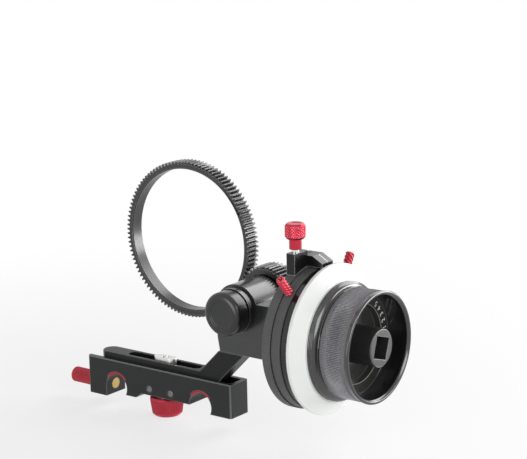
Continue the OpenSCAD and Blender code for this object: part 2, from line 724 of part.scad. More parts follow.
// Stepped shaft from the bevel gear to the hub.
module wheel_shaft() color([0.7, 0.71, 0.73]) difference() {
  union() {
    wheel_rod(drive_x + bevel_r - bevel_face + 0.1, drive_x + 9.3, counter_r);
    wheel_rod(drive_x + 9.2, disk_x0 - 0.3, wheel_shaft_r);
    wheel_rod(box_end + 0.2, hub_x0 - 0.05, wheel_shaft_r + 1.4);
  }
  wheel_ring(cavity_end - 1.1, cavity_end - 0.2, wheel_shaft_r + 1, wheel_shaft_r - 0.4);
  wheel_rod(disk_x0 - 10, disk_x0 + 1, 1.5);
}

// Clip that keeps the shaft from pulling out.
module shaft_clip() color([0.6, 0.61, 0.63])
  wheel_ring(cavity_end - 1.05, cavity_end - 0.25, wheel_shaft_r + 1.6, wheel_shaft_r - 0.4 + fit);

// Bevel gear on the wheel's shaft.
module wheel_bevel_gear() color([0.72, 0.55, 0.22]) difference() {
  union() {
    translate([drive_x + bevel_r, wheel_y, wheel_z]) rotate([90, 0, 90])
      mirror([0, 0, 1]) bevel_teeth_solid(0);
    wheel_rod(drive_x + bevel_r, drive_x + 9.1, 4.2);
  }
  wheel_rod(drive_x, drive_x + 12, counter_r + fit);
}

// Hub that turns with the shaft and carries the rings and the disk.
module wheel_hub() color([0.1, 0.1, 0.11]) difference() {
  wheel_turning([[wheel_shaft_r + fit, hub_x0], [hub_r, hub_x0], [hub_r, disk_x0 - 0.02],
    [hub_pocket_r, disk_x0 - 0.02], [hub_pocket_r, disk_x0 - hub_pocket],
    [hub_boss_r, disk_x0 - hub_pocket], [hub_boss_r, disk_x0 - 0.02],
    [wheel_shaft_r + fit, disk_x0 - 0.02]]);
  for (a = [0, 120, 240]) translate([0, wheel_y, wheel_z]) rotate([a, 0, 0]) {
    translate([0, 0, screw_circle]) rotate([0, 90, 0]) cylinder(h = 200, r = 1.3);
    translate([hub_x0 - 1, 0, screw_circle]) rotate([0, 90, 0]) cylinder(h = 3, r = 2.3);
  }
}

// White marking disk, coned on its face.
module marking_disk() color([0.95, 0.96, 0.95])
  wheel_turning([[spigot_r + 0.1, disk_x0], [disk_r - 0.3, disk_x0], [disk_r, disk_x0 + 0.3],
    [disk_r, disk_x0 + disk_rim - 0.4], [disk_r - 0.4, disk_x0 + disk_rim],
    [knob_flange_r + 1.8, disk_x1 - 0.5], [knob_flange_r + 1.3, disk_x1],
    [spigot_r + 0.1, disk_x1]]);

// Knob: rear flange, groove, ribbed drum and a cup open to the front.
module hand_knob() color([0.09, 0.09, 0.1]) difference() {
  union() {
    wheel_turning([[0, disk_x0 + 0.1], [spigot_r, disk_x0 + 0.1], [spigot_r, knob_x0],
      [knob_flange_r - 0.2, knob_x0], [knob_flange_r, knob_x0 + 0.2],
      [knob_flange_r, knob_x0 + 0.9], [knob_flange_r - 0.3, knob_x0 + 1.1],
      [knob_flange_r, knob_x0 + 1.3], [knob_flange_r, knob_x0 + 1.8],
      [knob_flange_r - 0.3, knob_x0 + 2], [knob_flange_r, knob_x0 + 2.2],
      [knob_flange_r, knob_x0 + 2.6], [knob_flange_r - 1.4, knob_x0 + 3.7],
      [drum_r - 0.9, knob_x0 + 4.1], [drum_r - 0.9, knob_x0 + 4.9],
      [drum_r - 0.3, knob_x0 + 5.5], [drum_r - 0.3, knob_x1 - 2.4],
      [rim_r - 0.4, knob_x1 - 1.6], [rim_r, knob_x1 - 0.9], [rim_r, knob_x1 - 0.5],
      [rim_r - 0.5, knob_x1], [0, knob_x1]]);
    translate([knob_x0 + 7.6, wheel_y, wheel_z]) rotate([0, 90, 0])
      ribbed(drum_r, knob_l - 10.2, drum_ribs, 0.28);
  }
  wheel_turning([[0, cup_x], [cup_r, cup_x], [cup_r, knob_x1 - 1.1],
    [cup_r + 1.2, knob_x1 + 0.1], [0, knob_x1 + 0.1]]);
  wheel_rod(recess_x, cup_x + 1, recess_r);
  wheel_rod(disk_x0 - 1, recess_x + 1, tail_r + fit);
  for (a = [0, 120, 240]) translate([0, wheel_y, wheel_z]) rotate([a, 0, 0])
    translate([disk_x0 - 1, 0, screw_circle]) rotate([0, 90, 0]) cylinder(h = 10.6, r = 1.25);
}

// Socket post in the cup, with the square hole for a crank or a cable drive.
module crank_socket() color([0.12, 0.12, 0.13]) difference() {
  wheel_turning([[0, disk_x0 + 0.2], [tail_r, disk_x0 + 0.2], [tail_r, recess_x + 0.02],
    [post_r, recess_x + 0.02], [post_r, post_x1 - 0.4], [post_r - 0.4, post_x1], [0, post_x1]]);
  translate([socket_x, wheel_y, wheel_z]) rotate([socket_turn, 0, 0])
    translate([0, -socket_w / 2, -socket_w / 2]) cube([socket_depth + 1, socket_w, socket_w]);
  wheel_rod(socket_x - 2.6, socket_x + 1, 3.2);
  wheel_rod(disk_x0, socket_x, 1.6);
}

// Three screws through the hub into the knob.
module knob_screws() color([0.2, 0.2, 0.21])
  for (a = [0, 120, 240]) translate([0, wheel_y, wheel_z]) rotate([a, 0, 0]) {
    translate([hub_x0 + 1.8, 0, screw_circle]) rotate([0, 90, 0])
      cylinder(h = disk_x0 + 9 - hub_x0 - 1.8, r = 1.2);
    translate([hub_x0 + 0.1, 0, screw_circle]) rotate([0, 90, 0]) cylinder(h = 1.85, r = 2.2);
  }

// Bolt at the bottom of the socket that holds the wheel on its shaft.
module shaft_bolt() color([0.75, 0.76, 0.78]) difference() {
  union() {
    wheel_rod(disk_x0 - 8, socket_x - 2.5, 1.45);
    wheel_rod(socket_x - 2.55, socket_x - 0.1, 3.1);
  }
  translate([socket_x - 1.6, wheel_y, wheel_z]) rotate([0, 90, 0]) cylinder(h = 4, r = 1.4, $fn = 6);
}

// ---------- countershaft ----------

// Short shaft across the box with a pivot at each end.
module counter_shaft() color([0.7, 0.71, 0.73]) {
  rod_y(drive_x, wheel_z, in_front - 1.2, box_back + 1.5, pivot_r);
  rod_y(drive_x, wheel_z, in_front + 0.1, box_back - 0.1, counter_r);
}

// Bevel gear that meets the wheel's bevel gear at a right angle.
module counter_bevel_gear() color([0.72, 0.55, 0.22]) difference() {
  union() {
    translate([drive_x, wheel_y + bevel_r, wheel_z]) rotate([90, 0, 0])
      bevel_teeth_solid(180 / bevel_teeth);
    rod_y(drive_x, wheel_z, wheel_y + bevel_r, box_back - 0.3, 4.2);
  }
  rod_y(drive_x, wheel_z, 0, 30, counter_r + fit);
}

// Lower spur gear, a tooth pointing up.
module counter_spur_gear() color([0.7, 0.71, 0.73]) difference() {
  translate([drive_x, 0, wheel_z]) slab(spur_y0, spur_y1)
    gear_outline(spur_r, spur_teeth, 90);
  rod_y(drive_x, wheel_z, in_front - 2, 10, counter_r + fit);
}

// ---------- drive shaft and lens gear ----------

// Shaft through the box, from the cap to the drive gear.
module drive_shaft() color([0.7, 0.71, 0.73]) difference() {
  rod_y(drive_x, drive_z, cap_back - 6, drive_y1 - 0.1, drive_shaft_r);
  rod_y(drive_x, drive_z, drive_y1 - 9, drive_y1 + 1, 1.5);
}

// Upper spur gear, a gap pointing down.
module drive_spur_gear() color([0.7, 0.71, 0.73]) difference() {
  translate([drive_x, 0, drive_z]) slab(spur_y0, spur_y1)
    gear_outline(spur_r, spur_teeth, 90 + 180 / spur_teeth);
  rod_y(drive_x, drive_z, in_front - 2, 10, drive_shaft_r + fit);
}

// Wide gear that turns the lens gear.
module drive_gear() color([0.1, 0.1, 0.11]) difference() {
  translate([drive_x, 0, drive_z]) slab(drive_y0, drive_y1)
    gear_outline(drive_r, drive_teeth, lens_dir);
  ring_y(drive_x, drive_z, drive_y0 - 1, drive_y0 + 1.5, drive_r - 3.4, 9.2);
  ring_y(drive_x, drive_z, drive_y1 - 3, drive_y1 + 1, drive_r - 3.4, 7.5);
  rod_y(drive_x, drive_z, drive_y0 - 1, drive_y1 + 1, drive_shaft_r + fit);
}

// Screw and its wide head that hold the drive gear.
module gear_retainer() color([0.75, 0.76, 0.78]) difference() {
  union() {
    rod_y(drive_x, drive_z, drive_y1 + 0.05, drive_y1 + 2.2, 6);
    rod_y(drive_x, drive_z, drive_y1 - 8, drive_y1 + 1, 1.45);
  }
  rod_y(drive_x, drive_z, drive_y1 + 0.9, drive_y1 + 4, 1.6, $fn = 6);
}

// Dished cap on the front end of the drive shaft.
module shaft_cap() color([0.12, 0.12, 0.13]) translate([drive_x, cap_back, drive_z])
  rotate([90, 0, 0]) difference() {
    rotate_extrude() polygon([[0, 0], [cap_r - 0.3, 0], [cap_r, 0.3], [cap_r, cap_l - 0.8],
      [cap_r - 0.8, cap_l], [cap_r - 2.8, cap_l], [cap_r - 3.5, cap_l - 1.1], [0, cap_l - 1.1]]);
    translate([0, 0, -1]) cylinder(h = 7.1, r = drive_shaft_r + fit);
  }

// Gear ring worn by the lens, a gap pointing at the drive gear.
module lens_gear_ring() color([0.07, 0.07, 0.08]) difference() {
  translate([0, 0, lens_z]) slab(lens_y0, lens_y0 + lens_w)
    gear_outline(lens_r, lens_teeth, lens_dir + 180 + 180 / lens_teeth, 3);
  rod_y(0, lens_z, lens_y0 - 1, lens_y0 + lens_w + 1, lens_bore_r);
  for (y = [lens_y0 - 1, lens_y0 + lens_w])
    ring_y(0, lens_z, y - 0.5, y + 1.5, lens_bore_r + 0.5, 1);
}

base_block();
rod_liners();
clamp_knob();
clamp_washer();
clamp_stud();
clamp_nut();
front_screws();
lock_knob();
lock_stud();
lock_pad();
support_arm();
arm_screws();
gearbox_housing();
rear_cover();
cover_screws();
wheel_bearings();
drive_bushes();
counter_bushes();
index_flange();
flange_screws();
stop_block();
witness_line();
block_screw();
drag_screw_head();
drag_screw_shank();
drag_pad();
stop_ring_a();
stop_screw_a();
stop_ring_b();
stop_screw_b();
wheel_shaft();
shaft_clip();
wheel_bevel_gear();
wheel_hub();
marking_disk();
hand_knob();
crank_socket();
knob_screws();
shaft_bolt();
counter_shaft();
counter_bevel_gear();
counter_spur_gear();
drive_shaft();
drive_spur_gear();
drive_gear();
gear_retainer();
shaft_cap();
lens_gear_ring();
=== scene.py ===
import json
import math

import bmesh
import bpy
from mathutils import Matrix, Vector

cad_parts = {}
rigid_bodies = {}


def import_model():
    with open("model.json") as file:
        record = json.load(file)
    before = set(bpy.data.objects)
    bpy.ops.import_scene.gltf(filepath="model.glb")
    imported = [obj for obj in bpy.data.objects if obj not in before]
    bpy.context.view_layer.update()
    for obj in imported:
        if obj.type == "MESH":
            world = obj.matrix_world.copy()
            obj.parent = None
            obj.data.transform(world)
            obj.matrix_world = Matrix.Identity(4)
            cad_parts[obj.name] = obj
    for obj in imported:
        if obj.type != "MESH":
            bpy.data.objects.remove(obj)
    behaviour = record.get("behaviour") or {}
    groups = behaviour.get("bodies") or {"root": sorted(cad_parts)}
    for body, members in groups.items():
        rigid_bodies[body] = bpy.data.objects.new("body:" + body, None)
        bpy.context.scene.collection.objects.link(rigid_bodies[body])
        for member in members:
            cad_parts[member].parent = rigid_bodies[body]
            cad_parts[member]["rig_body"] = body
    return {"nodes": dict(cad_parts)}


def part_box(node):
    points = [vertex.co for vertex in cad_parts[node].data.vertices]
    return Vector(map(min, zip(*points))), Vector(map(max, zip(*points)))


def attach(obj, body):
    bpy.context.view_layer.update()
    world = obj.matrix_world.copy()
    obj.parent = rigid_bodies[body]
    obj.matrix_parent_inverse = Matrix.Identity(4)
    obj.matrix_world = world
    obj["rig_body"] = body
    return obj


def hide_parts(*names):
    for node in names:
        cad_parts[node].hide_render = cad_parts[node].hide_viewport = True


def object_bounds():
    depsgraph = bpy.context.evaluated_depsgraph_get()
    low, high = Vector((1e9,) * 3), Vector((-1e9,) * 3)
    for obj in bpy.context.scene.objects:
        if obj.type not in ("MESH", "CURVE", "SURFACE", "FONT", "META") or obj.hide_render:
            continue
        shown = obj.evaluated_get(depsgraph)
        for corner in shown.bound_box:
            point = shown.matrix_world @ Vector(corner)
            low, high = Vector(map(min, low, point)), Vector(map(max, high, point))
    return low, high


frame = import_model()
cad_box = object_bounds()
nodes = frame["nodes"]
MM = 0.001


# ---------- Base block ----------
# Solid aluminium, milled from bar and bead blasted before it was anodised black. It rests on
# both rods with two half-round saddles, and its sharp edges are broken by a small chamfer that
# has a painted highlight: it is coloured lighter than the faces.

def new_effect(name, inputs, outputs):
    """A shader node group for one surface effect, with its input and output nodes."""
    tree = bpy.data.node_groups.new(name, "ShaderNodeTree")
    for socket, kind, value in inputs:
        made = tree.interface.new_socket(socket, in_out="INPUT", socket_type=kind)
        if value is not None:
            made.default_value = value
    for socket, kind in outputs:
        tree.interface.new_socket(socket, in_out="OUTPUT", socket_type=kind)
    return tree, tree.nodes.new("NodeGroupInput"), tree.nodes.new("NodeGroupOutput")


def put(tree, value, socket):
    """Feed a node's input from another socket, or set it to a plain number or colour."""
    if isinstance(value, bpy.types.NodeSocket):
        tree.links.new(value, socket)
    elif isinstance(value, tuple):
        socket.default_value = (*value, 1)
    else:
        socket.default_value = value


def number(tree, operation, first, second=None):
    """A Math node; each operand is a socket or a plain number."""
    node = tree.nodes.new("ShaderNodeMath")
    node.operation = operation
    put(tree, first, node.inputs[0])
    if second is not None:
        put(tree, second, node.inputs[1])
    return node.outputs[0]


def noise(tree, where, scale, detail=2.0):
    """A Noise texture's value; where and scale are sockets."""
    node = tree.nodes.new("ShaderNodeTexNoise")
    node.inputs["Detail"].default_value = detail
    put(tree, where, node.inputs["Vector"])
    put(tree, scale, node.inputs["Scale"])
    return node.outputs["Fac"]


def blasted_effect():
    """Bead-blasted grain: a fine height, and a slow mottle for the tone."""
    tree, given, made = new_effect(
        "Blasted grain",
        [
            ("Grains per metre", "NodeSocketFloat", None),
            ("Patches per metre", "NodeSocketFloat", 90.0),
        ],
        [("Height", "NodeSocketFloat"), ("Mottle", "NodeSocketFloat")],
    )
    place = tree.nodes.new("ShaderNodeTexCoord").outputs["Object"]
    fine = noise(tree, place, given.outputs["Grains per metre"])
    slow = noise(tree, place, given.outputs["Patches per metre"], detail=4.0)
    tree.links.new(fine, made.inputs["Height"])
    tree.links.new(slow, made.inputs["Mottle"])
    return tree


def worn_and_highlighted_edges_effect():
    """A mask of the raised edges, lightened both as wear from hands and tools and as a painted
    highlight, broken up by a noise. An edge is found by how little of the solid lies under the
    surface."""
    tree, given, made = new_effect(
        "Worn and highlighted edges",
        [
            ("Amount", "NodeSocketFloat", None),
            ("Width", "NodeSocketFloat", None),
            ("Breaks per metre", "NodeSocketFloat", 500.0),
        ],
        [("Mask", "NodeSocketFloat")],
    )
    flat_level = 0.12
    strength = 2.4
    least_left = 0.3
    under = tree.nodes.new("ShaderNodeAmbientOcclusion")
    under.inside = True
    under.only_local = True
    under.samples = 8
    tree.links.new(given.outputs["Width"], under.inputs["Distance"])
    place = tree.nodes.new("ShaderNodeTexCoord").outputs["Object"]
    thin = number(tree, "SUBTRACT", 1.0, under.outputs["AO"])
    raised = number(tree, "MULTIPLY", number(tree, "SUBTRACT", thin, flat_level), strength)
    breaks = noise(tree, place, given.outputs["Breaks per metre"], detail=3.0)
    broken = number(tree, "MULTIPLY", raised, number(tree, "ADD", breaks, least_left))
    mask = number(tree, "MULTIPLY", broken, given.outputs["Amount"])
    held = tree.nodes.new("ShaderNodeClamp")
    tree.links.new(mask, held.inputs["Value"])
    tree.links.new(held.outputs[0], made.inputs["Mask"])
    return tree


BLASTED = blasted_effect()
WORN_AND_HIGHLIGHTED_EDGES = worn_and_highlighted_edges_effect()


def effect(material, tree, **values):
    """Place a surface effect in a material, with this material's own values."""
    node = material.node_tree.nodes.new("ShaderNodeGroup")
    node.node_tree = tree
    for socket, value in values.items():
        node.inputs[socket.replace("_", " ")].default_value = value
    return node


def mix_colours(tree, share, first, second, way="MIX"):
    """A Mix node's colour; the share and both colours are sockets or plain values."""
    node = tree.nodes.new("ShaderNodeMix")
    node.data_type = "RGBA"
    node.blend_type = way
    put(tree, share, node.inputs["Factor"])
    put(tree, first, node.inputs["A"])
    put(tree, second, node.inputs["B"])
    return node.outputs["Result"]


def spread(tree, mask, low, high):
    """A number that runs from low to high with a mask."""
    node = tree.nodes.new("ShaderNodeMapRange")
    node.inputs["To Min"].default_value = low
    node.inputs["To Max"].default_value = high
    tree.links.new(mask, node.inputs["Value"])
    return node.outputs["Result"]


def blank_material(name):
    """A material with only its Principled shader, and that shader."""
    material = bpy.data.materials.new(name)
    material.use_nodes = True
    return material, material.node_tree.nodes["Principled BSDF"]


def relief(material, height, depth):
    """Feed a height through the Bump node into the shader's normal, in place of any height that
    is there; depth is in metres."""
    tree = material.node_tree
    normal = tree.nodes["Principled BSDF"].inputs["Normal"]
    bump = normal.links[0].from_node if normal.links else tree.nodes.new("ShaderNodeBump")
    bump.inputs["Distance"].default_value = depth
    tree.links.new(height, bump.inputs["Height"])
    tree.links.new(bump.outputs[0], normal)


def recolour(material, share, colour, way="MIX"):
    """Mix another colour into what feeds the shader's base colour."""
    tree = material.node_tree
    base = tree.nodes["Principled BSDF"].inputs["Base Color"]
    tree.links.new(mix_colours(tree, share, base.links[0].from_socket, colour, way), base)


def anodised(name, dark, light, rough, grains=3500.0, depth=0.012 * MM, wear_and_highlight_amount=0.5,
             wear_and_highlight_colour=(0.2, 0.2, 0.2), sheen=0.5, edge=0.5 * MM, metallic=0.0):
    """Anodised aluminium: two close tones in slow patches, a blasted grain and edges lightened as wear
    and painted highlight. sheen is how strongly it reflects, and edge how far in the edges are
    lightened."""
    rough_spread = 0.05
    material, shader = blank_material(name)
    shader.inputs["Specular IOR Level"].default_value = sheen
    shader.inputs["Metallic"].default_value = metallic
    tree = material.node_tree
    grain = effect(material, BLASTED, Grains_per_metre=grains)
    edges = effect(material, WORN_AND_HIGHLIGHTED_EDGES, Amount=wear_and_highlight_amount, Width=edge)
    mottle = grain.outputs["Mottle"]
    tone = mix_colours(tree, mottle, dark, light)
    tree.links.new(tone, shader.inputs["Base Color"])
    # The edges are lightened both as wear and as a painted highlight.
    recolour(material, edges.outputs["Mask"], wear_and_highlight_colour)
    gloss = spread(tree, mottle, rough - rough_spread, rough + rough_spread)
    tree.links.new(gloss, shader.inputs["Roughness"])
    relief(material, grain.outputs["Height"], depth)
    return material


def finish_node(node, material, width):
    """Give a CAD node its finish, merge its flat faces and round its sharp edges by the width."""
    weld_gap = 0.0005 * MM
    flat_angle = math.radians(0.4)
    sharp_angle = math.radians(28.0)
    facets = 2
    body = nodes[node]
    body.data.materials.clear()
    body.data.materials.append(material)
    for face in body.data.polygons:
        face.use_smooth = True
    body.modifiers.new("weld", "WELD").merge_threshold = weld_gap
    flat = body.modifiers.new("flat faces", "DECIMATE")
    flat.decimate_type = "DISSOLVE"
    flat.angle_limit = flat_angle
    bevel = body.modifiers.new("broken edges", "BEVEL")
    bevel.width = width
    bevel.segments = facets
    bevel.limit_method = "ANGLE"
    bevel.angle_limit = sharp_angle
    bevel.use_clamp_overlap = True
    normals = body.modifiers.new("normals", "WEIGHTED_NORMAL")
    normals.keep_sharp = True


BLOCK_BLACK = anodised("block black", (0.010, 0.011, 0.011), (0.016, 0.017, 0.017), 0.36, wear_and_highlight_amount=1.2,
                       wear_and_highlight_colour=(0.12, 0.13, 0.12), sheen=0.3, edge=0.9 * MM)


def painted_edge_highlight(material, inside, colour):
    """Paint a highlight on the chamfers and round corners: lighten them where a face leans away
    from all three axes, further from the middle than inside."""
    square_on = 0.985
    leaning = 0.80
    tree = material.node_tree
    given = tree.nodes.new("ShaderNodeTexCoord")
    lean = tree.nodes.new("ShaderNodeSeparateXYZ")
    place = tree.nodes.new("ShaderNodeSeparateXYZ")
    tree.links.new(given.outputs["Normal"], lean.inputs[0])
    tree.links.new(given.outputs["Object"], place.inputs[0])
    sides = [number(tree, "ABSOLUTE", lean.outputs[axis]) for axis in "XYZ"]
    straight = number(tree, "MAXIMUM", number(tree, "MAXIMUM", sides[0], sides[1]), sides[2])
    outside = number(tree, "GREATER_THAN", number(tree, "ABSOLUTE", place.outputs["Y"]), inside)
    mask = tree.nodes.new("ShaderNodeMapRange")
    mask.inputs["From Min"].default_value = square_on
    mask.inputs["From Max"].default_value = leaning
    tree.links.new(straight, mask.inputs["Value"])
    recolour(material, number(tree, "MULTIPLY", mask.outputs["Result"], outside), colour)


block_half = (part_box("base_block")[1].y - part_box("base_block")[0].y) / 2
corner_radius = 1.4 * MM
# Painted highlight: the chamfers and round corners near the block's ends are coloured lighter.
painted_edge_highlight(BLOCK_BLACK, block_half - corner_radius, (0.17, 0.18, 0.17))
finish_node("base_block", BLOCK_BLACK, 0.1 * MM)


# ---------- Rod liners ----------
# Two strips of red anodised aluminium sheet, rolled to the rods' radius and pressed into the
# roof of each saddle.

LINER_RED = anodised("liner red", (0.36, 0.012, 0.026), (0.44, 0.018, 0.034), 0.36, wear_and_highlight_amount=0.3,
                     wear_and_highlight_colour=(0.7, 0.2, 0.22), metallic=0.6)
finish_node("rod_liners", LINER_RED, 0.08 * MM)


# ---------- Clamp knob ----------
# A turned knob, red anodised, with straight ribs rolled round it. Its steel stud passes the
# block and the foot's slot, and pulls a bright nut down on the ledge inside the slot.

def lathe_effect():
    """Turning marks: fine rings round an axis through the centre, along one coordinate."""
    tree, given, made = new_effect(
        "Turning marks",
        [
            ("Centre", "NodeSocketVector", None),
            ("Axis", "NodeSocketVector", None),
            ("Rings per metre", "NodeSocketFloat", None),
        ],
        [("Height", "NodeSocketFloat")],
    )
    place = tree.nodes.new("ShaderNodeTexCoord").outputs["Object"]

    def vector(operation, first, second):
        node = tree.nodes.new("ShaderNodeVectorMath")
        node.operation = operation
        tree.links.new(first, node.inputs[0])
        tree.links.new(second, node.inputs[1])
        return node

    offset = vector("SUBTRACT", place, given.outputs["Centre"]).outputs["Vector"]
    along = vector("DOT_PRODUCT", offset, given.outputs["Axis"]).outputs["Value"]
    across = vector("CROSS_PRODUCT", offset, given.outputs["Axis"]).outputs["Vector"]
    length = tree.nodes.new("ShaderNodeVectorMath")
    length.operation = "LENGTH"
    tree.links.new(across, length.inputs[0])
    flat = tree.nodes.new("ShaderNodeCombineXYZ")
    tree.links.new(length.outputs["Value"], flat.inputs[0])
    tree.links.new(along, flat.inputs[1])
    rings = noise(tree, flat.outputs[0], given.outputs["Rings per metre"], detail=1.0)
    tree.links.new(rings, made.inputs["Height"])
    return tree


TURNED = lathe_effect()
AXES = {
    "X": (Vector((1, 0, 0)), Vector((0, 1, 0)), Vector((0, 0, 1))),
    "Y": (Vector((0, 1, 0)), Vector((0, 0, 1)), Vector((1, 0, 0))),
    "Z": (Vector((0, 0, 1)), Vector((1, 0, 0)), Vector((0, 1, 0))),
}


def eased(profile, radius, steps):
    """The profile with each corner rounded off, by up to the radius or nearly half of the
    shorter side."""
    most_of_side = 0.45
    closed = profile[0][0] > 0 and profile[-1][0] > 0
    out = []
    count = len(profile)
    for i, (r, x) in enumerate(profile):
        if not closed and i in (0, count - 1):
            out.append((r, x))
            continue
        here = Vector((r, x))
        back = Vector(profile[i - 1]) - here
        on = Vector(profile[(i + 1) % count]) - here
        cut = min(radius, back.length * most_of_side, on.length * most_of_side)
        start = here + back.normalized() * cut
        end = here + on.normalized() * cut
        for k in range(steps + 1):
            t = k / steps
            out.append(tuple(start * (1 - t) ** 2 + here * 2 * t * (1 - t) + end * t ** 2))
    return out


def with_rows(outline, step, low, high):
    """The outline with more points, at that step, where it runs between two places."""
    fine = []
    for point, after in zip(outline, outline[1:]):
        fine.append(point)
        if low < (point[1] + after[1]) / 2 < high:
            parts = max(1, round(abs(after[1] - point[1]) / step))
            for k in range(1, parts):
                fine.append((
                    point[0] + (after[0] - point[0]) * k / parts,
                    point[1] + (after[1] - point[1]) * k / parts,
                ))
    return fine + [outline[-1]]


def turned(name, profile, centre, along, sides, ease, rows=None, cut=None, steps=3):
    """A mesh turned from (radius, place) points. rows puts extra rings of that spacing between
    two places, cut(radius, place, angle) says how much is taken off the radius there, and steps
    is the number of facets round each eased corner."""
    on_axis = 1e-7
    axis, across, up = AXES[along]
    base = Vector(centre) - axis * Vector(centre).dot(axis)
    outline = eased(profile, ease, steps)
    if rows:
        outline = with_rows(outline, *rows)
    mesh = bmesh.new()
    rings = []
    for r, place in outline:
        if r < on_axis:
            rings.append([mesh.verts.new(base + axis * place)] * sides)
            continue
        ring = []
        for k in range(sides):
            angle = 2 * math.pi * k / sides
            outward = across * math.cos(angle) + up * math.sin(angle)
            left = r - (cut(r, place, angle) if cut else 0)
            ring.append(mesh.verts.new(base + axis * place + outward * left))
        rings.append(ring)
    closed = profile[0][0] > 0 and profile[-1][0] > 0
    for i in range(len(rings) if closed else len(rings) - 1):
        a, b = rings[i], rings[(i + 1) % len(rings)]
        for k in range(sides):
            n = (k + 1) % sides
            corners = [a[k], a[n], b[n], b[k]]
            corners = [v for j, v in enumerate(corners) if v not in corners[:j]]
            if len(corners) > 2:
                mesh.faces.new(corners)
    return mesh_piece(name, mesh)


def mesh_piece(name, mesh):
    """Turn a bmesh into an object, smooth except over sharp edges."""
    sharp = math.radians(40.0)
    bmesh.ops.recalc_face_normals(mesh, faces=mesh.faces)
    for face in mesh.faces:
        face.smooth = True
    for edge in mesh.edges:
        if len(edge.link_faces) == 2 and edge.calc_face_angle() > sharp:
            edge.smooth = False
    data = bpy.data.meshes.new(name)
    mesh.to_mesh(data)
    mesh.free()
    piece = bpy.data.objects.new(name, data)
    bpy.context.scene.collection.objects.link(piece)
    return piece


def run_out(place, low, high, fade):
    """The share of a cut that is left at a place, as the cut fades out at both its ends."""
    return min(1.0, max(0.0, (place - low) / fade), max(0.0, (high - place) / fade))


def ribs(count, depth, low, high, inner=0.0):
    """A cut of straight round-topped ribs between two places, outside a radius."""
    fade = 0.3 * MM
    roundness = 0.6

    def cut(r, place, angle):
        if r < inner:
            return 0.0
        wave = 0.5 - 0.5 * math.cos(angle * count)
        return depth * run_out(place, low, high, fade) * wave ** roundness
    return cut


def stands_for(piece, node, material):
    """The piece takes a CAD node's place, body, finish and material slot."""
    piece.data.materials.append(material)
    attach(piece, nodes[node]["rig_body"])
    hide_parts(node)


def turned_finish(name, dark, light, rough, centre, along, depth=0.004 * MM, wear_and_highlight_amount=0.4,
                  wear_and_highlight_colour=(0.3, 0.3, 0.3), rings=2500.0, sheen=0.5, metallic=0.0):
    """A turned and anodised surface: close tones, edges lightened as wear and painted highlight, and
    fine turning marks.
    """
    material = anodised(name, dark, light, rough, wear_and_highlight_amount=wear_and_highlight_amount, wear_and_highlight_colour=wear_and_highlight_colour, sheen=sheen,
                        metallic=metallic)
    marks = effect(material, TURNED, Centre=centre, Axis=AXES[along][0], Rings_per_metre=rings)
    relief(material, marks.outputs["Height"], depth)
    return material


def steel(name, centre, along, tone=0.72, rough=0.24, depth=0.003 * MM):
    """Bare turned steel: a metal with fine turning marks and slow stains."""
    stained = (tone * 0.82,) * 3
    clean = (tone, tone, tone * 0.98)
    return turned_finish(name, stained, clean, rough, centre, along, depth=depth, wear_and_highlight_amount=0.2,
                         wear_and_highlight_colour=(0.9, 0.9, 0.9), metallic=1.0)


low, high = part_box("clamp_knob")
clamp_centre = (low + high) / 2
clamp_radius = (high.x - low.x) / 2
clamp_edge = 0.8 * MM
clamp_hole = 2.1 * MM
clamp_hole_floor = high.z - 1.5 * MM
clamp_profile = [
    (0, low.z), (clamp_radius - 2.2 * MM, low.z), (clamp_radius - 1.0 * MM, low.z + 1.2 * MM),
    (clamp_radius, high.z - 2.4 * MM), (clamp_radius, high.z - clamp_edge),
    (clamp_radius - clamp_edge, high.z), (clamp_hole, high.z), (clamp_hole, clamp_hole_floor),
    (0, clamp_hole_floor),
]
CLAMP_RED = turned_finish("clamp knob red", (0.40, 0.022, 0.040), (0.50, 0.030, 0.052), 0.32,
                          clamp_centre, "Z", wear_and_highlight_colour=(0.75, 0.25, 0.27), metallic=0.6)
clamp_ribs = 60
rib_facets = 8
clamp_knob = turned("clamp_knob_turned", clamp_profile, clamp_centre, "Z",
                    rib_facets * clamp_ribs, 0.25 * MM,
                    rows=(0.9 * MM, low.z + 1.4 * MM, high.z - 1.0 * MM),
                    cut=ribs(clamp_ribs, 0.28 * MM, low.z + 1.3 * MM, high.z - 0.9 * MM))
stands_for(clamp_knob, "clamp_knob", CLAMP_RED)
CLAMP_STEEL = steel("clamp steel", clamp_centre, "Z")
finish_node("clamp_stud", CLAMP_STEEL, 0.15 * MM)
finish_node("clamp_washer", CLAMP_STEEL, 0.1 * MM)
NUT_STEEL = steel("nut steel", clamp_centre, "Z", tone=0.8, rough=0.3, depth=0.006 * MM)
finish_node("clamp_nut", NUT_STEEL, 0.25 * MM)


# ---------- Front screws ----------
# Two small button-head screws of darkened steel in the block's front face, each with a hexagon
# socket. They hold the clamp stud's keeper inside the block.

low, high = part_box("front_screws")
SCREW_STEEL = steel("small screw steel", (low + high) / 2, "Y", tone=0.20, rough=0.2)
finish_node("front_screws", SCREW_STEEL, 0.12 * MM)


# ---------- Rod lock ----------
# A long red knob on the block's left end, with straight ribs. It turns a steel stud, and a
# brass pad on the stud's end bears on the left rod.

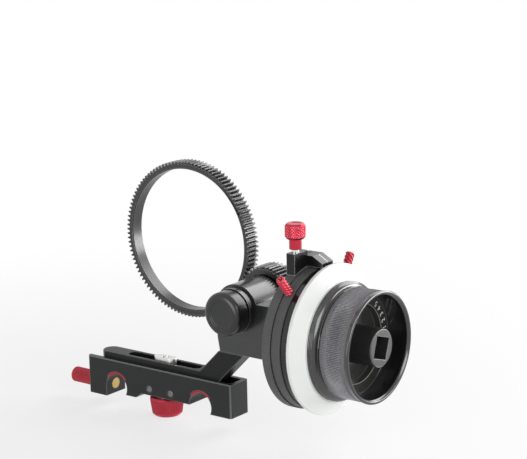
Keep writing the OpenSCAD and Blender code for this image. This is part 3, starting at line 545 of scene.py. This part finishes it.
low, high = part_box("lock_knob")
lock_centre = (low + high) / 2
lock_radius = (high.z - low.z) / 2
lock_edge = 0.8 * MM
lock_dish_floor = low.x + 0.5 * MM
lock_hole = 2.0 * MM
lock_hole_floor = high.x - 1.0 * MM
lock_profile = [
    (0, lock_dish_floor), (1.9 * MM, lock_dish_floor), (2.3 * MM, low.x),
    (lock_radius - lock_edge, low.x), (lock_radius, low.x + lock_edge),
    (lock_radius, high.x - lock_edge), (lock_radius - lock_edge, high.x),
    (lock_hole, high.x), (lock_hole, lock_hole_floor), (0, lock_hole_floor),
]
LOCK_RED = turned_finish("lock knob red", (0.34, 0.012, 0.026), (0.44, 0.018, 0.036), 0.32,
                         lock_centre, "X", wear_and_highlight_colour=(0.75, 0.25, 0.27), metallic=0.6)
lock_ribs = 36
lock_knob = turned("lock_knob_turned", lock_profile, lock_centre, "X", rib_facets * lock_ribs,
                   0.2 * MM,
                   rows=(1.2 * MM, low.x + 1.0 * MM, high.x - 1.0 * MM),
                   cut=ribs(lock_ribs, 0.26 * MM, low.x + 0.9 * MM, high.x - 0.9 * MM))
stands_for(lock_knob, "lock_knob", LOCK_RED)
finish_node("lock_stud", steel("lock stud steel", lock_centre, "X"), 0.15 * MM)
BRASS = turned_finish("brass", (0.50, 0.34, 0.12), (0.62, 0.44, 0.18), 0.3, lock_centre, "X",
                      metallic=1.0)
finish_node("lock_pad", BRASS, 0.1 * MM)


# ---------- Sliding arm ----------
# A flat bar that slides in the block's channel and rises at 45 degrees to the gearbox, milled
# in one piece and anodised like the block. Its slot has a ledge for the nut.

ARM_BLACK = anodised("arm black", (0.008, 0.009, 0.009), (0.014, 0.015, 0.014), 0.38, wear_and_highlight_amount=1.4,
                     wear_and_highlight_colour=(0.12, 0.13, 0.12), sheen=0.2, edge=1.0 * MM)
finish_node("support_arm", ARM_BLACK, 0.4 * MM)
finish_node("arm_screws", steel("arm screw steel", (0, 0, 0), "Z"), 0.1 * MM)


# ---------- Gearbox ----------
# A housing milled from solid and anodised satin black, with a round end about the drive shaft,
# and a rear cover held by five black screws. Bearings and bushes are pressed in.

BOX_BLACK = anodised("gearbox black", (0.014, 0.016, 0.015), (0.020, 0.022, 0.021), 0.25,
                     grains=2600.0, depth=0.005 * MM, wear_and_highlight_amount=1.0, wear_and_highlight_colour=(0.24, 0.25, 0.24))
box_shader = BOX_BLACK.node_tree.nodes["Principled BSDF"]
box_shader.inputs["Coat Weight"].default_value = 0.4
box_shader.inputs["Coat Roughness"].default_value = 0.2
finish_node("gearbox_housing", BOX_BLACK, 0.25 * MM)
finish_node("rear_cover", BOX_BLACK, 0.2 * MM)
OXIDE_BLACK = anodised("screw black", (0.03, 0.03, 0.032), (0.05, 0.05, 0.053), 0.35, wear_and_highlight_amount=1.0)
for screws in ("cover_screws", "flange_screws", "block_screw", "knob_screws"):
    finish_node(screws, OXIDE_BLACK, 0.1 * MM)

bush_low, bush_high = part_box("drive_bushes")
drive_centre = (bush_low + bush_high) / 2
wheel_low, wheel_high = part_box("marking_disk")
wheel_centre = (wheel_low + wheel_high) / 2
WHEEL_STEEL = steel("bearing steel", wheel_centre, "X")
DRIVE_STEEL = steel("drive shaft steel", drive_centre, "Y")
for part in ("wheel_bearings", "wheel_shaft", "shaft_clip", "shaft_bolt"):
    finish_node(part, WHEEL_STEEL, 0.1 * MM)
for part in ("drive_shaft", "counter_shaft", "counter_spur_gear", "drive_spur_gear", "gear_retainer"):
    finish_node(part, DRIVE_STEEL, 0.06 * MM)
for part in ("drive_bushes", "counter_bushes", "wheel_bevel_gear", "counter_bevel_gear"):
    finish_node(part, BRASS, 0.05 * MM)


# ---------- Shaft cap ----------
# A turned cap pressed on the front end of the drive shaft, dished on its face and anodised
# glossy black.

low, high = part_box("shaft_cap")
cap_radius = (high.x - low.x) / 2
cap_dish = cap_radius * 0.58
cap_hollow_floor = low.y + 0.7 * MM
cap_bore = 3.05 * MM
cap_bore_end = high.y - 6.1 * MM
cap_edge = 0.3 * MM
cap_profile = [
    (0, cap_bore_end), (cap_bore, cap_bore_end), (cap_bore, high.y), (cap_radius - cap_edge, high.y),
    (cap_radius, high.y - cap_edge), (cap_radius, low.y + 2.4 * MM),
    (cap_radius - 0.5 * MM, low.y + 1.2 * MM), (cap_radius - 1.4 * MM, low.y + 0.4 * MM),
    (cap_radius - 2.8 * MM, low.y), (cap_dish + 0.5 * MM, low.y), (cap_dish, cap_hollow_floor),
    (0, cap_hollow_floor),
]
CAP_BLACK = turned_finish("cap black", (0.010, 0.011, 0.011), (0.018, 0.019, 0.019), 0.24,
                          drive_centre, "Y", wear_and_highlight_amount=0.5, wear_and_highlight_colour=(0.16, 0.17, 0.17))
cap = turned("shaft_cap_turned", cap_profile, drive_centre, "Y", 160, 0.4 * MM)
stands_for(cap, "shaft_cap", CAP_BLACK)


# ---------- Drive gear and lens gear ring ----------
# Both are moulded in black acetal with module 0.8 teeth. The drive gear is screwed to its
# shaft; the ring is worn by the lens and meshes with it.

GEAR_PLASTIC = anodised("gear plastic", (0.010, 0.011, 0.011), (0.017, 0.018, 0.018), 0.28,
                        grains=1800.0, depth=0.008 * MM, wear_and_highlight_amount=0.9, wear_and_highlight_colour=(0.26, 0.27, 0.26),
                        sheen=0.6)
finish_node("drive_gear", GEAR_PLASTIC, 0.1 * MM)
finish_node("lens_gear_ring", GEAR_PLASTIC, 0.1 * MM)


# ---------- Index flange ----------
# A disk screwed to the gearbox's end, its rim finely knurled and anodised matte grey-black.
# The stop rings and the hub turn against it.

def fine_knurl_effect():
    """The height of a fine diamond knurl rolled round an axis along X through the centre."""
    tree, given, made = new_effect(
        "Fine knurl",
        [
            ("Centre", "NodeSocketVector", None),
            ("Cells round", "NodeSocketFloat", None),
            ("Cells per metre", "NodeSocketFloat", None),
        ],
        [("Height", "NodeSocketFloat")],
    )
    place = tree.nodes.new("ShaderNodeTexCoord").outputs["Object"]
    offset = tree.nodes.new("ShaderNodeVectorMath")
    offset.operation = "SUBTRACT"
    tree.links.new(place, offset.inputs[0])
    tree.links.new(given.outputs["Centre"], offset.inputs[1])
    parts = tree.nodes.new("ShaderNodeSeparateXYZ")
    tree.links.new(offset.outputs["Vector"], parts.inputs[0])
    turn = number(tree, "ARCTAN2", parts.outputs["Z"], parts.outputs["Y"])
    turn = number(tree, "DIVIDE", turn, 2 * math.pi)
    turn = number(tree, "MULTIPLY", turn, given.outputs["Cells round"])
    lift = number(tree, "MULTIPLY", parts.outputs["X"], given.outputs["Cells per metre"])

    def ridge(value):
        share = number(tree, "MULTIPLY", number(tree, "FRACT", value), 2.0)
        return number(tree, "ABSOLUTE", number(tree, "SUBTRACT", share, 1.0))

    crossed = number(tree, "MINIMUM", ridge(number(tree, "ADD", turn, lift)),
                     ridge(number(tree, "SUBTRACT", turn, lift)))
    tree.links.new(crossed, made.inputs["Height"])
    return tree


FINE_KNURL = fine_knurl_effect()
rim_cells = 226.0
rim_pitch = 1.1 * MM
rim_depth = 0.20 * MM
groove_shade = 0.95
FLANGE_GREY = anodised("flange grey", (0.19, 0.19, 0.195), (0.26, 0.26, 0.266), 0.5, wear_and_highlight_amount=0.3,
                       wear_and_highlight_colour=(0.16, 0.16, 0.17), sheen=0.4)
diamonds = effect(FLANGE_GREY, FINE_KNURL, Centre=wheel_centre, Cells_round=rim_cells,
                  Cells_per_metre=1 / rim_pitch)
# Painted shade: the knurl's valleys are darkened by its height.
recolour(FLANGE_GREY, groove_shade, diamonds.outputs["Height"], "MULTIPLY")
relief(FLANGE_GREY, diamonds.outputs["Height"], rim_depth)
finish_node("index_flange", FLANGE_GREY, 0.15 * MM)


# ---------- Stop block ----------
# One milled block: a post for the drag screw and a lower arm with a sloped nose, which stops
# the two red screws and points at the disk with a white line let into its slope.

POST_BLACK = anodised("stop block black", (0.006, 0.006, 0.007), (0.010, 0.010, 0.011), 0.17, wear_and_highlight_amount=1.0,
                      wear_and_highlight_colour=(0.38, 0.38, 0.38), sheen=0.3)
finish_node("stop_block", POST_BLACK, 0.3 * MM)
WHITE_FILL = anodised("white fill", (0.80, 0.81, 0.80), (0.88, 0.89, 0.88), 0.6, wear_and_highlight_amount=0.0)
finish_node("witness_line", WHITE_FILL, 0.02 * MM)


# ---------- Drag screw ----------
# A red anodised head with a diamond knurl and a smooth neck, fixed on a bright steel shank,
# with a soft pad that bears on the turning hub.

def knurl(count, pitch, depth, low, high):
    """A cut of crossed V grooves that leaves small diamonds between two places."""
    fade = 0.25 * MM

    def ridge(x):
        return abs(2 * (x % 1.0) - 1)

    def cut(r, place, angle):
        turn = angle * count / (2 * math.pi)
        lift = (place - low) / pitch
        groove = 1 - min(ridge(turn + lift), ridge(turn - lift))
        return depth * run_out(place, low, high, fade) * groove
    return cut


low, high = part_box("drag_screw_head")
drag_centre = (low + high) / 2
drag_radius = (high.x - low.x) / 2
neck_radius = 3.2 * MM
neck_edge = 0.3 * MM
shank_hole = 2.02 * MM
shank_hole_end = low.z + 4.4 * MM
head_low = high.z - 8.0 * MM
head_edge = 1.1 * MM
head_dish_floor = high.z - 0.35 * MM
head_profile = [
    (0, shank_hole_end), (shank_hole, shank_hole_end), (shank_hole, low.z),
    (neck_radius - neck_edge, low.z), (neck_radius, low.z + neck_edge), (neck_radius, head_low),
    (drag_radius - head_edge, head_low), (drag_radius, head_low + head_edge),
    (drag_radius, high.z - head_edge), (drag_radius - head_edge, high.z),
    (drag_radius - 2.2 * MM, high.z), (drag_radius - 2.8 * MM, head_dish_floor), (0, head_dish_floor),
]
DRAG_RED = turned_finish("drag screw red", (0.46, 0.024, 0.048), (0.58, 0.034, 0.064), 0.17,
                         drag_centre, "Z", wear_and_highlight_amount=0.8, wear_and_highlight_colour=(0.85, 0.32, 0.38), metallic=0.75)
drag_head = turned("drag_screw_knurled", head_profile, drag_centre, "Z", 240, 0.2 * MM,
                   rows=(0.14 * MM, head_low + 1.0 * MM, high.z - 1.0 * MM),
                   cut=knurl(25, 1.7 * MM, 0.45 * MM, head_low + 0.5 * MM, high.z - 0.5 * MM))
stands_for(drag_head, "drag_screw_head", DRAG_RED)
SHANK_STEEL = steel("drag shank steel", drag_centre, "Z", tone=0.85, rough=0.16)
finish_node("drag_screw_shank", SHANK_STEEL, 0.1 * MM)
PAD_NYLON = anodised("pad nylon", (0.74, 0.71, 0.62), (0.82, 0.79, 0.70), 0.5, wear_and_highlight_amount=0.0)
finish_node("drag_pad", PAD_NYLON, 0.05 * MM)


# ---------- Stop rings and their screws ----------
# Two rings that turn on the hub: ring A has the flange's matte knurled rim, ring B is polished
# and anodised gloss black. Each is fixed where wanted by a red knurled screw.

finish_node("stop_ring_a", FLANGE_GREY, 0.12 * MM)
RING_GLOSS = turned_finish("ring gloss black", (0.007, 0.007, 0.008), (0.012, 0.012, 0.013), 0.14,
                           wheel_centre, "X", wear_and_highlight_amount=0.5)
finish_node("stop_ring_b", RING_GLOSS, 0.15 * MM)


def twisted(count, pitch, depth, low, high):
    """A cut of twisted flutes between two places, each a turn of the pitch times the count."""
    fade = 0.3 * MM
    hollowness = 1.5

    def cut(r, place, angle):
        turn = (angle * count / (2 * math.pi) + (place - low) / pitch) % 1.0
        return depth * run_out(place, low, high, fade) * abs(2 * turn - 1) ** hollowness
    return cut


flange_radius = (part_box("index_flange")[1].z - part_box("index_flange")[0].z) / 2
foot = flange_radius - 0.2 * MM
shank_end = 30.4 * MM
shank_radius = 1.45 * MM
grip_radius = 2.4 * MM
grip_edge = 0.7 * MM
grip_margin = 0.4 * MM
hole_mouth = 1.35 * MM
hole_radius = 1.2 * MM
for letter, lean, head_length in (("a", 131.0, 11.5 * MM), ("b", 62.0, 8.0 * MM)):
    screw_low, screw_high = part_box("stop_screw_" + letter)
    top = foot + head_length
    hole_end = top - 1.6 * MM
    stop_profile = [
        (0, shank_end), (shank_radius, shank_end), (shank_radius, foot),
        (grip_radius - grip_edge, foot), (grip_radius, foot + grip_edge),
        (grip_radius, top - grip_edge), (grip_radius - 0.5 * MM, top),
        (hole_mouth, top), (hole_radius, hole_end), (0, hole_end),
    ]
    shape = turned(f"stop_screw_{letter}_knurled", stop_profile, (0, 0, 0), "Z", 144, 0.15 * MM,
                   rows=(0.15 * MM, foot + grip_margin, top - grip_margin),
                   cut=twisted(5, 2.0 * MM, 0.6 * MM, foot + grip_margin, top - grip_margin))
    middle = Vector(((screw_low.x + screw_high.x) / 2, wheel_centre.y, wheel_centre.z))
    stop_place = Matrix.Translation(middle) @ Matrix.Rotation(math.radians(lean - 90), 4, "X")
    shape.data.transform(stop_place)
    stop_red = anodised(f"stop screw {letter} red", (0.46, 0.024, 0.048), (0.58, 0.034, 0.064), 0.3,
                        wear_and_highlight_amount=1.3, wear_and_highlight_colour=(0.90, 0.42, 0.46), metallic=0.6)
    stands_for(shape, "stop_screw_" + letter, stop_red)


# ---------- Hub and marking disk ----------
# The hub turns with the shaft and carries the rings. The disk is turned in white plastic, with
# a coned face that takes a pen, and is held between the hub and the knob.

finish_node("wheel_hub", ARM_BLACK, 0.15 * MM)
disk_radius = (wheel_high.z - wheel_low.z) / 2
disk_x0, disk_x1 = wheel_low.x, wheel_high.x
knob_low, knob_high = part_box("hand_knob")
knob_flange = 30.8 * MM
disk_bore = 20.1 * MM
disk_edge = 0.3 * MM
disk_profile = [
    (disk_bore, disk_x0), (disk_radius - disk_edge, disk_x0), (disk_radius, disk_x0 + disk_edge),
    (disk_radius, disk_x0 + 2.0 * MM), (disk_radius - 0.4 * MM, disk_x0 + 2.4 * MM),
    (knob_flange + 1.8 * MM, disk_x1 - 0.5 * MM), (knob_flange + 1.3 * MM, disk_x1),
    (disk_bore, disk_x1),
]
DISK_WHITE = turned_finish("disk white", (0.80, 0.82, 0.80), (0.86, 0.88, 0.86), 0.42,
                           wheel_centre, "X", depth=0.002 * MM, wear_and_highlight_amount=0.05, wear_and_highlight_colour=(0.9, 0.9, 0.9))
disk = turned("marking_disk_turned", disk_profile, wheel_centre, "X", 320, 0.2 * MM)
stands_for(disk, "marking_disk", DISK_WHITE)


# ---------- Hand knob ----------
# Turned from aluminium bar: a ringed flange, a groove, a drum with fine straight ribs and a cup
# open to the front. Anodised gloss black; the drum is painted a lighter grey as a sheen, with painted
# shade in its rib grooves, and the rim's edges are lightened as wear and painted highlight.

disk_gap = 0.1 * MM
knob_x0 = disk_x1 + disk_gap
knob_x1 = knob_high.x
shaft_hole = 8.02 * MM
seat = 20.0 * MM
ring_depth = 0.35 * MM
drum = 28.5 * MM
drum_low = knob_x0 + 5.8 * MM
drum_high = knob_x1 - 2.4 * MM
rim = 28.9 * MM
cup = 26.3 * MM
cup_floor = knob_x1 - 12.8 * MM
recess = 20.5 * MM
recess_floor = cup_floor - 4.0 * MM
knob_profile = [
    (shaft_hole, knob_low.x), (seat, knob_low.x), (seat, knob_x0), (knob_flange - 0.2 * MM, knob_x0),
    (knob_flange, knob_x0 + 0.2 * MM),
    (knob_flange, knob_x0 + 0.9 * MM), (knob_flange - ring_depth, knob_x0 + 1.1 * MM),
    (knob_flange, knob_x0 + 1.3 * MM), (knob_flange, knob_x0 + 1.8 * MM),
    (knob_flange - ring_depth, knob_x0 + 2.0 * MM), (knob_flange, knob_x0 + 2.2 * MM),
    (knob_flange, knob_x0 + 2.6 * MM), (knob_flange - 1.4 * MM, knob_x0 + 3.7 * MM),
    (drum - 0.9 * MM, knob_x0 + 4.1 * MM), (drum - 0.9 * MM, knob_x0 + 4.9 * MM),
    (drum - 0.05 * MM, drum_low), (drum - 0.05 * MM, drum_high),
    (rim - 0.25 * MM, knob_x1 - 1.6 * MM), (rim, knob_x1 - 0.9 * MM), (rim, knob_x1 - 0.5 * MM),
    (rim - 0.5 * MM, knob_x1), (cup + 1.1 * MM, knob_x1), (cup, knob_x1 - 1.1 * MM), (cup, cup_floor),
    (recess, cup_floor), (recess, recess_floor), (shaft_hole, recess_floor),
]
drum_ribs = 200
drum_rib_facets = 5
rib_depth = 0.40 * MM
rib_margin = 0.1 * MM
hand_knob = turned("hand_knob_turned", knob_profile, wheel_centre, "X",
                   drum_rib_facets * drum_ribs, 0.12 * MM, steps=1,
                   rows=(3.0 * MM, drum_low, drum_high),
                   cut=ribs(drum_ribs, rib_depth, drum_low + rib_margin, drum_high - rib_margin,
                            inner=drum - rib_margin))
KNOB_BLACK = turned_finish("knob black", (0.006, 0.006, 0.007), (0.011, 0.011, 0.012), 0.16,
                           wheel_centre, "X", wear_and_highlight_amount=1.1, wear_and_highlight_colour=(0.34, 0.34, 0.35), sheen=0.9)
stands_for(hand_knob, "hand_knob", KNOB_BLACK)
# Painted sheen: the drum is a lighter grey than the knob's black, for the light its ribs catch.
DRUM_SHEEN_GREY = turned_finish("drum painted sheen grey", (0.070, 0.067, 0.076), (0.115, 0.110, 0.124), 0.27,
                          wheel_centre, "X", wear_and_highlight_amount=1.2, wear_and_highlight_colour=(0.42, 0.41, 0.45), sheen=1.0)
# Painted shade: the rib grooves are darkened by an occlusion mask.
groove_shade_contrast = 3.0
drum_tree = DRUM_SHEEN_GREY.node_tree
groove = drum_tree.nodes.new("ShaderNodeAmbientOcclusion")
groove.only_local = True
groove.inputs["Distance"].default_value = 0.5 * MM
painted_groove_shade = number(drum_tree, "POWER", groove.outputs["AO"], groove_shade_contrast)
recolour(DRUM_SHEEN_GREY, 1.0, painted_groove_shade, "MULTIPLY")
CUP_SATIN = turned_finish("cup satin", (0.012, 0.012, 0.011), (0.024, 0.025, 0.022), 0.20,
                          wheel_centre, "X", wear_and_highlight_amount=1.6, wear_and_highlight_colour=(0.60, 0.60, 0.57), rings=900.0,
                          sheen=1.0)
hand_knob.data.materials.append(DRUM_SHEEN_GREY)
hand_knob.data.materials.append(CUP_SATIN)
drum_slot = 1
cup_slot = 2
for face in hand_knob.data.polygons:
    off_axis = math.hypot(face.center.y - wheel_centre.y, face.center.z - wheel_centre.z)
    if drum_low - 0.2 * MM < face.center.x < drum_high and off_axis > drum - 1.0 * MM:
        face.material_index = drum_slot
    if recess_floor - 0.1 * MM < face.center.x < cup_floor + 0.1 * MM and off_axis < cup:
        face.material_index = cup_slot


# ---------- Cup figures ----------
# Small white figures and a tick printed on the cup's floor beside the post, in a thin film of
# paint.

FIGURE_WHITE = anodised("figure white", (0.72, 0.73, 0.71), (0.80, 0.81, 0.79), 0.5, wear_and_highlight_amount=0.0)
figure_height = 4.2 * MM
figure_ring = 23.3 * MM
film = 0.02 * MM
first_angle = 8.0
angle_step = 10.0
tick_angle = 82.0
figure_places = [(str(n + 1), first_angle + angle_step * n) for n in range(5)]
figure_places.append(("|", tick_angle))
for letters, angle in figure_places:
    figure = bpy.data.curves.new("figure", "FONT")
    figure.body = letters
    figure.size = figure_height
    figure.align_x = "CENTER"
    figure.align_y = "CENTER"
    figure.extrude = film
    drawn = bpy.data.objects.new("figure", figure)
    bpy.context.scene.collection.objects.link(drawn)
    bpy.context.view_layer.update()
    graph = bpy.context.evaluated_depsgraph_get()
    outline_mesh = bpy.data.meshes.new_from_object(drawn.evaluated_get(graph))
    bpy.data.objects.remove(drawn)
    lean = math.radians(angle)
    outward = Vector((0, math.cos(lean), math.sin(lean)))
    around = Vector((0, -math.sin(lean), math.cos(lean)))
    facing = Matrix((around, -outward, Vector((1, 0, 0)))).transposed().to_4x4()
    middle = Vector((cup_floor + film, wheel_centre.y, wheel_centre.z)) + outward * figure_ring
    outline_mesh.transform(Matrix.Translation(middle) @ facing)
    print_name = "cup_tick" if letters == "|" else "cup_figure_" + letters
    printed = bpy.data.objects.new(print_name, outline_mesh)
    bpy.context.scene.collection.objects.link(printed)
    printed.data.materials.clear()
    printed.data.materials.append(FIGURE_WHITE)
    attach(printed, nodes["hand_knob"]["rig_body"])


# ---------- Socket post ----------
# A post in the middle of the cup with a square hole for a crank or a cable drive, milled and
# anodised black, with its edges lightened as wear from the cranks and as a painted highlight.

SOCKET_BLACK = anodised("socket post black", (0.020, 0.021, 0.020), (0.030, 0.031, 0.030), 0.34,
                        wear_and_highlight_amount=1.6, wear_and_highlight_colour=(0.36, 0.37, 0.35), sheen=0.8, edge=0.7 * MM)
finish_node("crank_socket", SOCKET_BLACK, 0.45 * MM)


# ---------- Studio ----------
# A plain pale floor just under the lowest point, in a white surround. Four soft lamps: a key from
# the wheel's side, a fill from the front, one from behind and above, and a low one behind the
# wheel. The camera stands where the photograph was taken.

floor_mesh = bmesh.new()
reach = 3.0
floor_gap = 0.4 * MM
floor_z = cad_box[0].z - floor_gap
floor_corners = ((-reach, -reach), (reach, -reach), (reach, reach), (-reach, reach))
floor_mesh.faces.new([floor_mesh.verts.new((x, y, floor_z)) for x, y in floor_corners])
floor = mesh_piece("floor", floor_mesh)
floor_paint, floor_shader = blank_material("floor paint")
put(floor_paint.node_tree, (0.88, 0.88, 0.88), floor_shader.inputs["Base Color"])
floor_shader.inputs["Roughness"].default_value = 0.9
paint = floor_paint.node_tree
distance = paint.nodes.new("ShaderNodeVectorMath")
distance.operation = "LENGTH"
paint.links.new(paint.nodes.new("ShaderNodeTexCoord").outputs["Object"], distance.inputs[0])
near = 0.05
far = 0.45
white_share_near = 0.7
fade = paint.nodes.new("ShaderNodeMapRange")
fade.interpolation_type = "SMOOTHSTEP"
fade.inputs["From Min"].default_value = near
fade.inputs["From Max"].default_value = far
fade.inputs["To Min"].default_value = white_share_near
paint.links.new(distance.outputs["Value"], fade.inputs["Value"])


def seen_white(tree, share=None):
    """A mask of the rays that show the white surround: camera, glossy and transmission rays."""
    path = tree.nodes.new("ShaderNodeLightPath")
    seen = number(tree, "MAXIMUM", path.outputs["Is Camera Ray"], path.outputs["Is Glossy Ray"])
    seen = number(tree, "MAXIMUM", seen, path.outputs["Is Transmission Ray"])
    return number(tree, "MULTIPLY", seen, share) if share else seen


white_floor = paint.nodes.new("ShaderNodeEmission")
put(paint, (1, 1, 1), white_floor.inputs["Color"])
floor_mix = paint.nodes.new("ShaderNodeMixShader")
paint.links.new(seen_white(paint, fade.outputs["Result"]), floor_mix.inputs[0])
paint.links.new(floor_shader.outputs[0], floor_mix.inputs[1])
paint.links.new(white_floor.outputs[0], floor_mix.inputs[2])
paint.links.new(floor_mix.outputs[0], paint.nodes["Material Output"].inputs["Surface"])
floor.data.materials.append(floor_paint)

wheel_middle = Vector((90 * MM, 0, 50 * MM))
for name, place, size, power in (
    ("key", (0.95, -0.25, 0.42), 0.55, 4.3),
    ("fill", (-0.05, -1.0, 0.08), 0.7, 5.6),
    ("back", (0.20, 0.72, 0.52), 0.6, 4.6),
    ("low side", (0.52, 0.50, 0.02), 0.4, 5.2),
):
    lamp = bpy.data.lights.new(name, "AREA")
    lamp.size = size
    lamp.energy = power
    stand = bpy.data.objects.new(name, lamp)
    stand.location = place
    stand.visible_camera = False
    stand.rotation_euler = (wheel_middle - Vector(place)).to_track_quat("-Z", "Y").to_euler()
    bpy.context.scene.collection.objects.link(stand)

world = bpy.data.worlds.new("studio")
world.use_nodes = True
bpy.context.scene.world = world
sky = world.node_tree
put(sky, (0.20, 0.20, 0.20), sky.nodes["Background"].inputs["Color"])
white = sky.nodes.new("ShaderNodeBackground")
put(sky, (1, 1, 1), white.inputs["Color"])
seen = sky.nodes.new("ShaderNodeMixShader")
sky.links.new(seen_white(sky), seen.inputs[0])
sky.links.new(sky.nodes["Background"].outputs[0], seen.inputs[1])
sky.links.new(white.outputs[0], seen.inputs[2])
sky.links.new(seen.outputs[0], sky.nodes["World Output"].inputs["Surface"])

VIEW_TARGET = Vector((69.33, 0, 100.19)) * MM
VIEW_AZIMUTH, VIEW_RISE, VIEW_ROLL = (math.radians(a) for a in (37.61, 12.82, -1.24))
VIEW_DISTANCE = 893.84 * MM
FRAME_WIDTH, FOCAL_PIXELS = 527, 1745.17
back = Vector((
    math.sin(VIEW_AZIMUTH) * math.cos(VIEW_RISE),
    -math.cos(VIEW_AZIMUTH) * math.cos(VIEW_RISE),
    math.sin(VIEW_RISE),
))
right = (-back).cross(Vector((0, 0, 1))).normalized()
up = right.cross(-back)
turned_right = right * math.cos(VIEW_ROLL) + up * math.sin(VIEW_ROLL)
turned_up = up * math.cos(VIEW_ROLL) - right * math.sin(VIEW_ROLL)
lens = bpy.data.cameras.new("camera")
lens.lens = FOCAL_PIXELS / FRAME_WIDTH * lens.sensor_width
lens.clip_start, lens.clip_end = 0.05, 20
camera = bpy.data.objects.new("camera", lens)
camera.matrix_world = Matrix.Translation(VIEW_TARGET + back * VIEW_DISTANCE) @ Matrix(
    (turned_right, turned_up, back)).transposed().to_4x4()
bpy.context.scene.collection.objects.link(camera)
bpy.context.scene.camera = camera
bpy.context.scene.view_settings.view_transform = "Standard"
